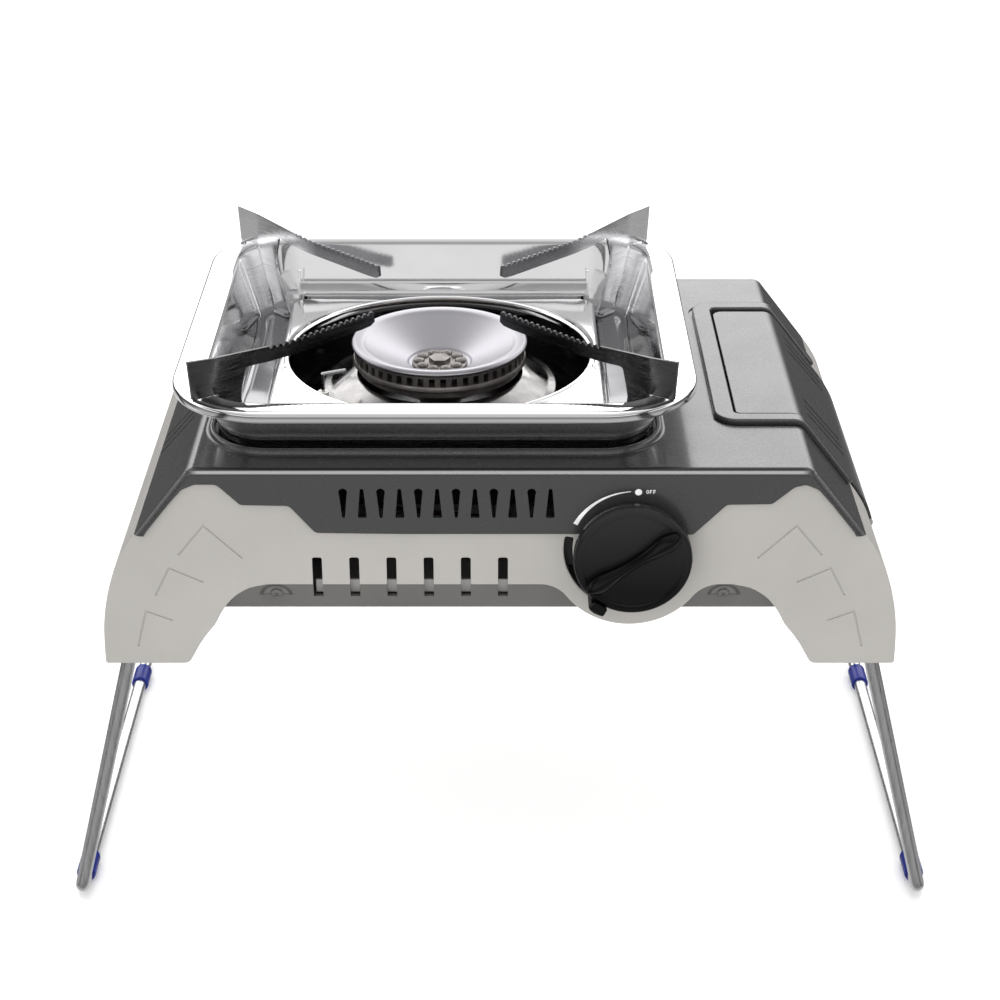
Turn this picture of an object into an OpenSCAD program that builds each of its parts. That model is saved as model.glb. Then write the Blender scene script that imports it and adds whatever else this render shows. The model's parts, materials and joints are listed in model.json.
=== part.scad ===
// Folding-leg butane cassette stove: low case on two swing-out leg frames,
// lift-off drip tray over one round burner, cassette bay on the right under a hinged lid.
// Modelled about the middle of the top plate (X right, Y back, Z up, Z = 0 on the top plate),
// then lifted so that the foot sleeves stand on Z = 0.

/* [Case] */
// Half width of the flat top plate
top_half_w = 155; // [153:1:157]
// Half depth of the case at the front panel's face
half_d = 131.5; // [130:0.5:133]
// Wall thickness of the metal top shell
shell_t = 1.5; // [1.2:0.1:1.5]
// Wall thickness of the lower case panels
panel_t = 2.0; // [1.6:0.1:2.0]
// Depth of the belly plate below the top plate
belly_z = 78.8; // [78:0.1:79]

/* [Burner and tray] */
// Burner axis, left of the middle
burner_x = -33; // [-34:0.5:-32]
// Half width of the tray's outer rim
tray_half = 133; // [130:0.5:133]
// Height of the tray's rim above the top plate
rim_z = 29.8; // [29.2:0.2:30]
// Radius of the tray's round burner opening
ring_r = 84; // [82:0.5:84]
// Radius of the burner cap
cap_r = 47.7; // [46:0.1:48]

/* [Cassette bay] */
// Cassette axis, right of the middle
can_x = 140; // [140:0.5:140.5]
// Cassette axis below the top plate
can_z = -41.5; // [-41.5:0.1:-41.3]
// Radius of the saddle that the cassette lies in
saddle_r = 34.3; // [34.1:0.1:34.3]

/* [Controls] */
// Knob axis, right of the middle
knob_x = 66.3; // [65.8:0.1:66.8]
// Radius of the gas knob
knob_r = 29; // [28:0.5:29]
// Angle of the knob's grip bar
grip_deg = 35; // [0:5:90]

/* [Legs] */
// Length from the leg pivot to the foot bar
leg_len = 177.6; // [175.6:0.5:177.6]
// Splay of the opened legs from vertical
splay = 14.3; // [12.3:0.5:14.3]
// Radius of the leg rod
rod_r = 3.75; // [3.6:0.05:3.75]
// Radius of the foot sleeve
sleeve_r = 5.3; // [5.2:0.1:6]

/* [Hidden] */
$fn = 64;

slope = 28 / 36;                       // shoulder: sideways run per unit of drop
pivot_x = 187;
pivot_z = -90;
leg_y = 124;                           // rods of a leg frame at +-leg_y
leg_bend = 8;                          // bend radius beside the foot bar
pin_bend = 7;                          // bend radius beside the pivot pin
bracket_y = leg_y - pin_bend - 7.5;
sleeve_flat = sleeve_r - 0.5;          // the sleeve's small flat below its axis
top_h = -pivot_z + leg_len * cos(splay) + sleeve_flat;
grip_front = 151.5;                      // the knob's grip reaches furthest forward
shell_d = half_d + 1.7;
y_off = (grip_front - shell_d) / 2;
knob_z = -45;
boss_z = -48.6;
boss_r = 40;
well_half = 113;
hinge_x = 197.1;
hinge_z = -65.5;
belly_lip = 82;                         // lower edge of the front and rear belly faces
belly_tilt = 108.6;                     // direction square to a belly face
bay_y0 = -70;
bay_y1 = 77;
diag = atan2(95, knob_x - burner_x);   // the gas line runs slantwise from valve to burner

// right-hand outline of the case from the shoulder's edge down to the skirt, [x, z]
outline = [[155, 0], [183, -36], [189.5, -45.2], [193.6, -52.5], [196.6, -60.5], [199.2, -69],
    [201.3, -78], [202.6, -86], [203.3, -92.9], [203.7, -102], [203.8, -112]];
// sideways share of a wall's thickness at each of those points
wall_k = [1.267, 1.25, 1.19, 1.11, 1.06, 1.035, 1.02, 1.01, 1, 1, 1];
function off(i, t) = [outline[i][0] - t * wall_k[i], outline[i][1]];
function slope_x(z, t) = top_half_w - z * slope - t * 1.267;
function mir(p) = [for (i = [len(p) - 1 : -1 : 0]) [-p[i][0], p[i][1]]];
// lower edge of the shell's end bands, left half
ear = [[-179.6, -37.5], [-179.4, -36], [-161.2, -12.5], [-156.5, -9.3], [-152, -8.1], [-141, -8.1],
    [-129.5, -19.3], [-105, -19.9], [-92.4, -35], [-50, -35.6]];

module place() { translate([0, y_off, top_h]) children(); }
// extrude an XZ drawing from y0 to y1
module ext_y(y0, y1) { translate([0, y1, 0]) rotate([90, 0, 0]) linear_extrude(y1 - y0) children(); }
// extrude a YZ drawing from x0 to x1
module ext_x(x0, x1) { translate([x0, 0, 0]) rotate([90, 0, 90]) linear_extrude(x1 - x0) children(); }
// square with round corners, made of plain shapes
module rsq(h, r) {
    square([2 * h, 2 * (h - r)], center = true);
    square([2 * (h - r), 2 * h], center = true);
    for (x = [-1, 1], y = [-1, 1]) translate([x * (h - r), y * (h - r)]) circle(r);
}
module bar_x(l, r) { rotate([0, 90, 0]) cylinder(h = l, r = r, center = true); }
module bar_y(l, r) { rotate([90, 0, 0]) cylinder(h = l, r = r, center = true); }
// cylinder along Y from y0 to y1 at (x, z)
module cy(x, z, r, y0, y1) { translate([x, y1, z]) rotate([90, 0, 0]) cylinder(h = y1 - y0, r = r); }
// small pan-head screw on +Z, head up at z = 0
module screw(l = 6, r = 1.4, hr = 2.8, hh = 1.6) {
    difference() {
        union() { cylinder(h = hh, r = hr); translate([0, 0, -l]) cylinder(h = l, r = r); }
        for (a = [0, 90]) rotate([0, 0, a]) translate([-1.6, -0.3, hh - 0.8]) cube([3.2, 0.6, 2]);
    }
}

// ---------- case ----------
module vent(i) {
    w = (i % 2 == 0) ? [2.1, 0.7] : [0.9, 2.1];
    polygon([[-w[0], -10.2], [w[0], -10.2], [w[1], -26.5], [-w[1], -26.5]]);
}
module top_shell() color([0.33, 0.33, 0.33]) place() {
    difference() {
        union() {
            difference() {
                ext_y(-shell_d, shell_d) polygon([[-top_half_w, 0], [top_half_w, 0], [183.8, -37], [-183.8, -37]]);
                ext_y(-shell_d + shell_t, shell_d - shell_t)
                    polygon(concat([[top_half_w - 0.49 * shell_t, -shell_t], [slope_x(-40, shell_t), -40]],
                        mir([[top_half_w - 0.49 * shell_t, -shell_t], [slope_x(-40, shell_t), -40]])));
            }
            // pressed lip round the burner opening
            translate([burner_x, 0, -shell_t]) linear_extrude(shell_t + 3) difference() { rsq(well_half + 3, 33); rsq(well_half, 30); }
            // raised frame round the cassette lid
            difference() {
                ext_y(-80, 88) polygon([[110, -0.5], [110, 2.6], [top_half_w + 1.3, 2.6], [186.1, -36.4], [183, -36], [slope_x(-36, 0.6), -36], [top_half_w - 1, -0.5]]);
                translate([110, -80, -0.2]) difference() { translate([-1, -1, 0.2]) cube([13, 13, 10]); translate([12, 12, -1]) cylinder(h = 12, r = 12); }
            }
        }
        translate([burner_x, 0, -10]) linear_extrude(20) rsq(well_half, 30);
        translate([121.5, bay_y0, -60]) cube([100, bay_y1 - bay_y0, 70]);
        for (s = [-1, 1]) scale([1, 1, 1]) ext_y(s > 0 ? shell_d - shell_t - 0.001 : -shell_d - 1, s > 0 ? shell_d + 1 : -shell_d + shell_t + 0.001)
            polygon(concat([[-179.6, -60]], ear, s > 0 ? mir(ear) :
                [[70, -35.6], [96.7, -36], [112.9, -18.8], [135.3, -18.8], [146, -9.6], [151.5, -8.2], [156.5, -9.3], [161.2, -12.5], [179.4, -36], [179.6, -37.5]],
                [[179.6, -60]]));
        for (i = [0 : 11]) translate([-78.4 + i * 9.355, 0, 0]) ext_y(-shell_d - 1, -shell_d + 3) vent(i);
    }
}
module front_outline() {
    half = concat([[154.1, -1.8], [slope_x(-37.3, 1.8), -37.3], [183.9, -37.3]],
        [for (i = [2 : 9]) outline[i]], [[203.8, -109], [202.8, -111.4], [201, -112], [163, -112], [160.6, -111.2],
        [154.4, -100.6], [145.9, -88.8], [139.7, -77.6], [134.8, -72.4], [127, -67.6], [118, -65.7]]);
    polygon(concat(half, mir(half)));
}
module lower_slots() {
    for (i = [0 : 5]) translate([-92.4 + i * 18.78, 0]) {
        translate([-2.5, -73.6]) square([5, 22.6]);
        translate([-1.4, -73.6]) square([2.8, 23.7]);
        for (x = [-1.4, 1.4]) translate([x, -51]) circle(1.1);
    }
}
module arc_slot() {
    intersection() {
        difference() { circle(34.2); circle(29.8); }
        polygon([[0, 0], [-60, 13.85], [-60, -70], [-31.2, -60]]);
    }
}
// belly face: bends inward below the crease
module belly_chamfer(s) {
    ext_x(-141, 141) polygon([[s * half_d, -65.7], [s * (half_d - 5.5), -belly_lip], [s * (half_d - 7.6), -belly_lip], [s * (half_d - panel_t), -64.5], [s * (half_d - 0.6), -64.5]]);
}
module front_panel() color([0.70, 0.685, 0.66]) place() {
    difference() {
        union() {
            ext_y(-half_d, -half_d + panel_t) front_outline();
            belly_chamfer(-1);
            // knob boss: a flat cup that hangs below the belly line
            difference() {
                union() {
                    cy(knob_x, boss_z, boss_r, -half_d - 1.5, -half_d + panel_t);
                    cy(knob_x, boss_z, boss_r, -half_d - 1.5, -half_d + 6);
                }
                cy(knob_x, boss_z, boss_r - 1.6, -half_d + panel_t, -half_d + 20);
                translate([0, -200, -36.8]) cube([200, 100, 40]);
                translate([0, -half_d + panel_t, -60]) cube([200, 100, 40]);
            }
        }
        // cavity of the boss through the belly face
        intersection() { cy(knob_x, boss_z, boss_r - 1.6, -half_d + panel_t, -half_d + 20); translate([0, -200, -120]) cube([200, 300, 60]); }
        ext_y(-half_d - 5, -half_d + 12) lower_slots();
        cy(knob_x, knob_z, 8.5, -140, -120);
        translate([knob_x, 0, knob_z]) ext_y(-140, -128) arc_slot();
        // window behind the shell's vents
        translate([-84, -140, -29.5]) cube([114, 20, 21]);
        for (x = [-115, 115]) translate([x, -half_d + 2.5, -72.9]) rotate([belly_tilt, 0, 0]) cylinder(h = 20, r = 1.5, center = true);
    }
}
module rear_panel() color([0.70, 0.685, 0.66]) place() {
    difference() {
        union() {
            ext_y(half_d - panel_t, half_d) front_outline();
            belly_chamfer(1);
        }
        // air slots
        for (i = [0 : 9]) translate([-85 + i * 18.78, 0, 0]) ext_y(half_d - 5, half_d + 5) { translate([-2.2, -60]) square([4.4, 16]); translate([0, -44]) circle(2.2); translate([0, -60]) circle(2.2); }
        for (x = [-115, 115]) translate([x, half_d - 2.5, -72.9]) rotate([-belly_tilt, 0, 0]) cylinder(h = 20, r = 1.5, center = true);
    }
}
module side_wall_2d() {
    polygon(concat([[slope_x(-24, 1.8), -24], [slope_x(-37.3, 1.8), -37.3], [183.9, -37.3]], [for (i = [2 : 10]) outline[i]],
        [for (i = [10 : -1 : 2]) off(i, panel_t)], [[183.9 - panel_t * 1.25, -37.3], [slope_x(-37.3, 1.8 + panel_t / 1.25), -37.3], [slope_x(-24, 1.8 + panel_t / 1.25), -24]]));
}
module side_wall() {
    d = half_d - panel_t - 0.1;
    ext_y(-d, d) side_wall_2d();
    // flange that the belly plate is screwed to
    difference() {
        translate([178, -120, -belly_z + 1.6]) cube([21.6, 240, 1.6]);
        for (y = [-60, 0, 60]) translate([184, y, -90]) cylinder(h = 20, r = 1.5);
    }
}
module left_side_panel() color([0.70, 0.685, 0.66]) place() mirror([1, 0, 0]) side_wall();
module right_side_panel() color([0.70, 0.685, 0.66]) place() {
    difference() {
        side_wall();
        translate([150, bay_y0 - 0.5, -69]) cube([60, bay_y1 - bay_y0 + 1, 68]);
    }
    // fixed hinge knuckles
    for (y = [-58, 4, 60]) difference() {
        union() {
            cy(hinge_x, hinge_z, 2.9, y - 5, y + 5);
            translate([hinge_x - 1.2, y - 5, hinge_z - 5]) cube([2.6, 10, 4]);
        }
        cy(hinge_x, hinge_z, 1.5, y - 6, y + 6);
    }
}
module bottom_pan() color([0.62, 0.61, 0.59]) place() {
    difference() {
        union() {
            translate([-190, -123.4, -belly_z]) cube([380, 246.8, 1.5]);
            // upturned front and rear edges behind the belly faces
            translate([-141, 121.9, -belly_z]) cube([282, 1.5, 10]);
            translate([-94, -123.4, -belly_z]) cube([113, 1.5, 11.9]);
        }
        // slits in the front edge, one behind each slot
        for (i = [0 : 5]) translate([-98 + i * 18.78, -125, -77]) cube([11, 5, 3.1]);
        // slots under the burner for air
        for (i = [-3 : 3]) translate([burner_x + i * 18 - 2, 14, -90]) cube([4, 66, 20]);
        for (x = [-184, 184], y = [-60, 0, 60]) translate([x, y, -90]) cylinder(h = 20, r = 1.5);
    }
}
module belly_screws() color([0.6, 0.6, 0.6]) place() {
    for (x = [-184, 184], y = [-60, 0, 60]) translate([x, y, -belly_z]) rotate([180, 0, 0]) screw(l = 4, r = 1.45);
}
module shell_screws() color([0.6, 0.6, 0.6]) place() {
    for (s = [-1, 1], x = [-115, 115]) translate([x, s * (half_d - 2.43), -72.9]) rotate([s > 0 ? -belly_tilt : belly_tilt, 0, 0]) screw(l = 4, r = 1.4, hr = 2.6, hh = 1.2);
}
// ---------- burner side ----------
well_z = -28;
module burner_well() color([0.05, 0.05, 0.05]) place() {
    difference() {
        translate([burner_x, 0, well_z - 1.2]) difference() {
            linear_extrude(-shell_t - 0.1 - (well_z - 1.2)) rsq(well_half - 0.2, 29.8);
            translate([0, 0, 1.2]) linear_extrude(50) rsq(well_half - 1.4, 28.6);
        }
        translate([burner_x, 0, -40]) cylinder(h = 20, r = 11.6);
        for (a = [30, 150, 270]) translate([burner_x, 0, -40]) rotate([0, 0, a]) translate([60, 0, 0]) cylinder(h = 20, r = 1.6);
        translate([burner_x - 62, -28, -40]) cylinder(h = 20, r = 4);
        for (x = [-45, -20, 35]) cy(burner_x + x, -17, 1.5, -120, -100);
        for (x = [-75, 75]) cy(burner_x + x, -17, 1.5, 100, 120);
    }
    // posts that the tray stands on
    for (x = [-97, 97], y = [-60, 60]) translate([burner_x + x, y, well_z - 0.1]) cylinder(h = -9.1 - well_z, r = 5);
    // hanging flange under the top shell
    translate([burner_x, 0, -shell_t - 1.3]) linear_extrude(1.2) difference() { rsq(well_half + 5, 34); rsq(well_half - 0.3, 29.7); }
}
module well_screws() color([0.8, 0.8, 0.8]) place() {
    for (x = [-45, -20, 35]) translate([burner_x + x, -well_half + 1.4, -17]) rotate([-90, 0, 0]) screw(l = 4, r = 1.4, hr = 2.4, hh = 1);
    for (x = [-75, 75]) translate([burner_x + x, well_half - 1.4, -17]) rotate([90, 0, 0]) screw(l = 4, r = 1.4, hr = 2.4, hh = 1);
}
module mixing_tube() color([0.75, 0.75, 0.76]) place() translate([burner_x, 0, knob_z]) rotate([0, 0, -diag]) {
    difference() {
        union() {
            translate([0, 0, 0]) rotate([0, 90, 0]) cylinder(h = 100, r = 9);
            translate([88, 0, 0]) rotate([0, 90, 0]) cylinder(h = 12, r = 12);
            sphere(r = 9);
            cylinder(h = 24, r = 9);
        }
        rotate([0, 90, 0]) cylinder(h = 101, r = 7.6);
        translate([90, 0, 0]) rotate([0, 90, 0]) cylinder(h = 12, r = 10.6);
        sphere(r = 7.6);
        cylinder(h = 25, r = 7.6);
        for (a = [0, 180]) rotate([a, 0, 0]) translate([94.5, 0, 5]) cylinder(h = 10, r = 3);
    }
}
module burner_body() color([0.35, 0.33, 0.32]) place() translate([burner_x, 0, 0]) difference() {
    rotate_extrude() polygon([[9.1, -26], [11.3, -26], [11.3, -16], [24, -12], [38, -3.5], [44, -1], [44, 2.4], [41.5, 2.4], [41.5, 0.8],
        [36.5, -1.6], [23, -9.8], [9.1, -13.6]]);
}
module base_ring() color([0.8, 0.8, 0.8]) place() translate([burner_x, 0, 0]) {
    difference() {
    rotate_extrude() polygon([[44.3, -4.6], [46, -3.2], [50, -5], [60, -10.5], [64, -10.5], [66.5, -13.5], [74, -18], [77, -18], [77, -19],
        [73.7, -19], [66, -14.5], [63.5, -11.5], [59.7, -11.5], [49.6, -6], [44.3, -5.8]]);
        translate([-62, -28, -30]) cylinder(h = 40, r = 5.4);
    }
    for (a = [60, 180, 300]) rotate([0, 0, a]) translate([68, -3, -27.9]) cube([4, 6, 12.3]);
}
module burner_bracket() color([0.7, 0.7, 0.7]) place() translate([burner_x, 0, 0]) {
    difference() {
        union() {
            cylinder(h = 0.01, r = 0.01);
            translate([0, 0, -26.6]) cylinder(h = 1.5, r = 24);
            for (a = [30, 150, 270]) rotate([0, 0, a]) {
                translate([20, -6, -26.6]) cube([34, 12, 1.5]);
                translate([52.5, -6, -27.9]) cube([1.5, 12, 2.8]);
                translate([52.5, -6, -27.9]) cube([13, 12, 1.5]);
            }
        }
        translate([0, 0, -40]) cylinder(h = 30, r = 11.4);
        for (a = [30, 150, 270]) rotate([0, 0, a]) translate([60, 0, -40]) cylinder(h = 30, r = 1.6);
    }
}
module flame_ring() color([0.45, 0.42, 0.40]) place() translate([burner_x, 0, 0]) difference() {
    union() {
        rotate_extrude() polygon([[40, 2.5], [46.2, 2.5], [47.4, 4], [46.4, 11.7], [41, 11.7], [41, 10.3], [40, 10.3]]);
    }
    for (i = [0 : 47]) rotate([0, 0, i * 7.5]) translate([38, -0.6, 6.2]) cube([12, 1.2, 5.6]);
}
module burner_cap() color([0.72, 0.71, 0.72]) place() translate([burner_x, 0, 0]) difference() {
    rotate_extrude() polygon([[3.1, 0.2], [16.6, 0.6], [18.0, 2.6], [40.9, 14.0], [42.2, 15.3], [46.4, 15.5], [cap_r, 14.5], [cap_r, 11.9],
        [41.4, 11.9], [40, 11.5], [19.4, 0.9], [17.2, -1.2], [3.1, -1.6]]);
}
module cap_nut() color([0.3, 0.28, 0.28]) place() translate([burner_x, 0, 0]) {
    translate([0, 0, 0.7]) cylinder(h = 1.2, r = 15.2);
    translate([0, 0, 1.9]) cylinder(h = 2.6, r = 6, $fn = 6);
    translate([0, 0, -12]) cylinder(h = 14, r = 3);
    translate([0, 0, -8]) difference() { cylinder(h = 4.6, r = 8); translate([0, 0, -1]) cylinder(h = 7, r = 2.99); }
}
module electrode_insulator() color([0.9, 0.89, 0.85]) place() translate([burner_x - 62, -28, 0]) difference() {
    union() { translate([0, 0, -33]) cylinder(h = 29, r = 3); translate([0, 0, -27.8]) cylinder(h = 3, r = 5); }
    translate([0, 0, -40]) cylinder(h = 50, r = 1.05);
}
module igniter_electrode() color([0.7, 0.7, 0.7]) place() translate([burner_x - 62, -28, 0]) {
    translate([0, 0, -36]) cylinder(h = 42, r = 1);
    translate([0, 0, 6]) sphere(r = 1);
    translate([0, 0, 6]) rotate([0, 90, 24.3]) cylinder(h = 13, r = 1);
}
module piezo_igniter() color([0.12, 0.12, 0.12]) place() {
    translate([30, -124, -58]) cube([14, 16, 18]);
    cy(37, -49, 5.5, -108.01, -84);
}
// route of the spark lead, from the igniter under the burner well to the electrode
lead = [[37, -80.5, -49], [36, -76, -54], [33, -71, -61], [24, -64, -66], [8, -55, -68], [-15, -48, -69], [-40, -43, -69],
    [-62, -39, -68], [-80, -34, -64], [-90, -31, -58], [-94, -29, -50], [burner_x - 62, -28, -40]];
function unit(v) = v / norm(v);
function heading(p, i) = unit(p[min(i + 1, len(p) - 1)] - p[max(i - 1, 0)]);
module tube(p, r, sides = 8) {
    m = len(p);
    pts = [for (i = [0 : m - 1]) let (t = heading(p, i), u = unit(cross(t, [0, 1, 0])), v = cross(t, u))
        for (k = [0 : sides - 1]) p[i] + r * (cos(360 * k / sides) * u + sin(360 * k / sides) * v)];
    walls = [for (i = [0 : m - 2], k = [0 : sides - 1]) let (a = i * sides + k, b = i * sides + (k + 1) % sides)
        each [[a, a + sides, b], [b, a + sides, b + sides]]];
    ends = [for (k = [1 : sides - 2]) each [[0, k, k + 1], [(m - 1) * sides, (m - 1) * sides + k + 1, (m - 1) * sides + k]]];
    polyhedron(pts, concat(walls, ends));
}
module igniter_lead() color([0.55, 0.1, 0.1]) place() {
    cy(37, -49, 2, -83.9, -80);
    tube(lead, 1.3);
    translate([burner_x - 62, -28, -40.5]) cylinder(h = 4.4, r = 2.4);
}
// ---------- gas line ----------
module regulator_body() color([0.66, 0.66, 0.67]) place() {
    difference() {
        union() {
            cy(knob_x, knob_z, 13, -123, -94);
            translate([knob_x, -118, -50]) cube([can_x - knob_x, 20, 14]);
            cy(can_x, can_z, 17, -119, -98);
            cy(can_x, can_z, 11, -99, -88);
            // outlet boss towards the burner
            translate([burner_x, 0, knob_z]) rotate([0, 0, -diag]) translate([114, 0, 0]) rotate([0, 90, 0]) cylinder(h = 26, r = 7);
            // feet
            translate([knob_x - 5, -112, -77.2]) cube([10, 10, 22]);
            translate([can_x + 18, -112, -77.2]) cube([5, 10, 34]);
            translate([can_x + 5, -112, -50]) cube([18, 10, 8]);
        }
        cy(knob_x, knob_z, 6.05, -130, -101);
        cy(can_x, can_z, 4.5, -96, -93);
        cy(can_x, can_z, 5, -93.3, -80);
        cy(can_x, can_z, 1.2, -110, -95);
        cy(can_x, can_z, 12, -120, -115);
        translate([burner_x, 0, knob_z]) rotate([0, 0, -diag]) translate([100, 0, 0]) rotate([0, 90, 0]) cylinder(h = 24, r = 2.5);
    }
}
module inlet_seal() color([0.1, 0.1, 0.1]) place() difference() { cy(can_x, can_z, 4.4, -95.9, -93.4); cy(can_x, can_z, 2, -97, -92); }
module collar_guide() color([0.75, 0.75, 0.76]) place() {
    difference() {
        union() { cy(can_x, can_z, 21, -97.9, -96.6); translate([can_x - 3.5, -97.9, can_z + 18]) cube([7, 9, 3]); }
        cy(can_x, can_z, 11.05, -100, -90);
    }
}
module diaphragm() color([0.15, 0.15, 0.15]) place() cy(can_x, can_z, 16.5, -120.2, -119.1);
module diaphragm_spring() color([0.7, 0.7, 0.7]) place()
    for (i = [0 : 2]) translate([can_x, -121.6 - i * 1.5, can_z]) rotate([90, 0, 0]) rotate_extrude() translate([5, 0]) circle(0.7);
module diaphragm_cover() color([0.7, 0.7, 0.7]) place() difference() {
    union() { cy(can_x, can_z, 17, -122.4, -120.3); cy(can_x, can_z, 9, -126.8, -122); }
    cy(can_x, can_z, 7, -125.6, -119);
    for (a = [45 : 90 : 315]) cy(can_x + 13.6 * cos(a), can_z + 13.6 * sin(a), 1.45, -130, -115);
}
module regulator_screws() color([0.5, 0.5, 0.5]) place()
    for (a = [45 : 90 : 315]) translate([can_x + 13.6 * cos(a), -122.5, can_z + 13.6 * sin(a)]) rotate([90, 0, 0]) screw(l = 2.1, r = 1.4, hr = 2.4, hh = 1.2);
module jet_nozzle() color([0.75, 0.6, 0.3]) place() translate([burner_x, 0, knob_z]) rotate([0, 0, -diag]) difference() {
    union() {
        translate([106, 0, 0]) rotate([0, 90, 0]) cylinder(h = 7.9, r = 4.4, $fn = 6);
        translate([98, 0, 0]) rotate([0, 90, 0]) cylinder(h = 8.1, r = 2.2);
        translate([113, 0, 0]) rotate([0, 90, 0]) cylinder(h = 8, r = 2.4);
    }
    translate([97, 0, 0]) rotate([0, 90, 0]) cylinder(h = 26, r = 0.6);
}
module push_sleeve() color([0.85, 0.82, 0.6]) place() difference() { cy(knob_x, knob_z, 6, -133.9, -107); cy(knob_x, knob_z, 3.05, -140, -100); }
module return_spring() color([0.7, 0.7, 0.7]) place()
    for (i = [0 : 3]) translate([knob_x, -102 - i * 1.3, knob_z]) rotate([90, 0, 0]) rotate_extrude() translate([4.9, 0]) circle(0.5);
module spindle() color([0.75, 0.6, 0.3]) place() cy(knob_x, knob_z, 3, -144, -104.5);
module gas_knob() color([0.03, 0.03, 0.03]) place() translate([knob_x, 0, knob_z]) {
    difference() {
        union() {
            translate([0, -138.6, 0]) rotate([90, 0, 0]) rotate_extrude() polygon([[0, 0], [knob_r, 0], [knob_r, 4.6], [knob_r - 1.6, 6.2], [0, 6.8]]);
            cy(0, 0, 8, -139, -134);
            rotate([0, -grip_deg, 0]) intersection() {
                translate([-27.4, -grip_front, -4.8]) cube([54.8, 14, 9.6]);
                ext_y(-grip_front, -140) difference() {
                    polygon([[-27.4, -1.8], [-20, -4.8], [20, -4.8], [27.4, -1.8], [27.4, 1.8], [20, 4.8], [-20, 4.8], [-27.4, 1.8]]);
                    for (s = [-1, 1]) translate([0, s * 79.2]) circle(76.5);
                }
            }
        }
        cy(0, 0, 3.05, -144.1, -130);
    }
}
module lock_lever() color([0.04, 0.04, 0.04]) place() translate([knob_x, 0, knob_z]) {
    ext_y(-half_d + panel_t + 0.4, -half_d + panel_t + 2.8) union() {
        difference() { circle(17.5); circle(9); }
        rotate(237) difference() { translate([10, -3.4]) square([24, 6.8]); circle(9); }
    }
    ext_y(-half_d - 2.6, -half_d + panel_t + 0.5) rotate(237) intersection() { difference() { circle(33.8); circle(30.2); } translate([28, -2]) square([8, 4]); }
    ext_y(-146, -half_d - 2.5) rotate(237) polygon([[30.2, -4.2], [33.4, -4.6], [34.8, 0], [33.4, 4.6], [30.2, 4.2]]);
}
// ---------- cassette bay ----------
module bay_partition() color([0.6, 0.6, 0.6]) place() {
    translate([102.5, -86, -77.2]) cube([1.5, 207, 75.3]);
    translate([92, -86, -77.2]) cube([11, 207, 1.5]);
}
module canister_cradle() color([0.6, 0.6, 0.6]) place() {
    translate([120, -70, -77.2]) cube([44, 150, 1]);
    for (y = [-52, 46]) difference() {
        translate([120, y, -76.3]) cube([44, 6, 12]);
        cy(can_x, can_z, saddle_r, y - 1, y + 7);
    }
}
module canister_slider() color([0.5, 0.5, 0.5]) place() {
    translate([108, -123.6, -77]) cube([8, 223.8, 1.4]);
    translate([108, 98.2, -77]) cube([60, 2, 40]);
    translate([60, -123.6, -77]) cube([49, 4, 1.4]);
    translate([60, -123.6, -77]) cube([12, 2, 17]);
}
function lid_off(d) = [[top_half_w + 0.42 * d, d], [183 + d * 0.79, -36 + d * 0.61], [189.5 + d * 0.82, -45.2 + d * 0.55], [193.6 + d * 0.9, -52.5 + d * 0.45], [196.95 + d * 0.94, -61.4]];
module canister_lid() color([0.36, 0.36, 0.37]) place() {
    y0 = bay_y0 + 1;
    y1 = bay_y1 - 3;
    difference() {
        union() {
            ext_y(y0, y1) polygon(concat([[122.5, 1.6]], lid_off(1.6), [for (i = [4 : -1 : 0]) lid_off(-0.1)[i]], [[122.5, -0.1]]));
            // stiffening flange under the free edge
            translate([122.5, y0 + 4, -5]) cube([1.4, y1 - y0 - 8, 5]);
        }
        for (y = [-58, 4, 60]) translate([hinge_x - 6, y - 5.4, hinge_z - 12.5]) cube([16, 10.8, 17.2]);
    }
    for (c = [[-44, 16], [-22, 16], [26, 16], [42, 12]]) difference() {
        union() {
            cy(hinge_x, hinge_z, 2.9, c[0] - c[1] / 2, c[0] + c[1] / 2);
            translate([hinge_x - 0.6, c[0] - c[1] / 2, hinge_z]) cube([2.0, c[1], 5.5]);
        }
        cy(hinge_x, hinge_z, 1.56, -90, 90);
    }
}
module lid_hinge_pin() color([0.7, 0.7, 0.7]) place() cy(hinge_x, hinge_z, 1.5, -66, 68);
// ---------- tray ----------
module slab(h, r, z0, z1) { translate([0, 0, z0]) linear_extrude(z1 - z0) rsq(h, r); }
module drip_tray() color([0.8, 0.8, 0.81]) place() translate([burner_x, 0, 0]) {
    difference() {
        union() {
            slab(tray_half, 50, rim_z - 5.3, rim_z);
            hull() { slab(118, 32, rim_z - 1, rim_z - 0.5); slab(107, 24, -9, -8.5); }
        }
        difference() { slab(tray_half - 1, 49, rim_z - 6, rim_z - 1); hull() { slab(118, 32, rim_z - 1, rim_z); slab(107, 24, -9, -8); } }
        hull() { slab(117, 31, rim_z - 0.5, rim_z + 0.5); slab(106, 23, -8, -7.5); }
        slab(86.5, 7, -12, 0);
        translate([0, 0, -12]) cylinder(h = 40, r = ring_r);
    }
    difference() {
        union() { slab(87.5, 8, -9, 4.5); cylinder(h = 6.7, r = ring_r + 1); }
        slab(86.5, 7, -10, 3.5);
        translate([0, 0, -12]) cylinder(h = 40, r = ring_r);
    }
}
module wind_shields() color([0.78, 0.78, 0.79]) place() for (s = [-1, 1]) {
    translate([burner_x - 84.5, s * 93 - 0.5, -7.9]) cube([169, 1, 19.9]);
    for (x = [-84.5, 83.5]) translate([burner_x + x, s > 0 ? 88.5 : -93, -7.9]) cube([1, 4.5, 15]);
}
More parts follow.
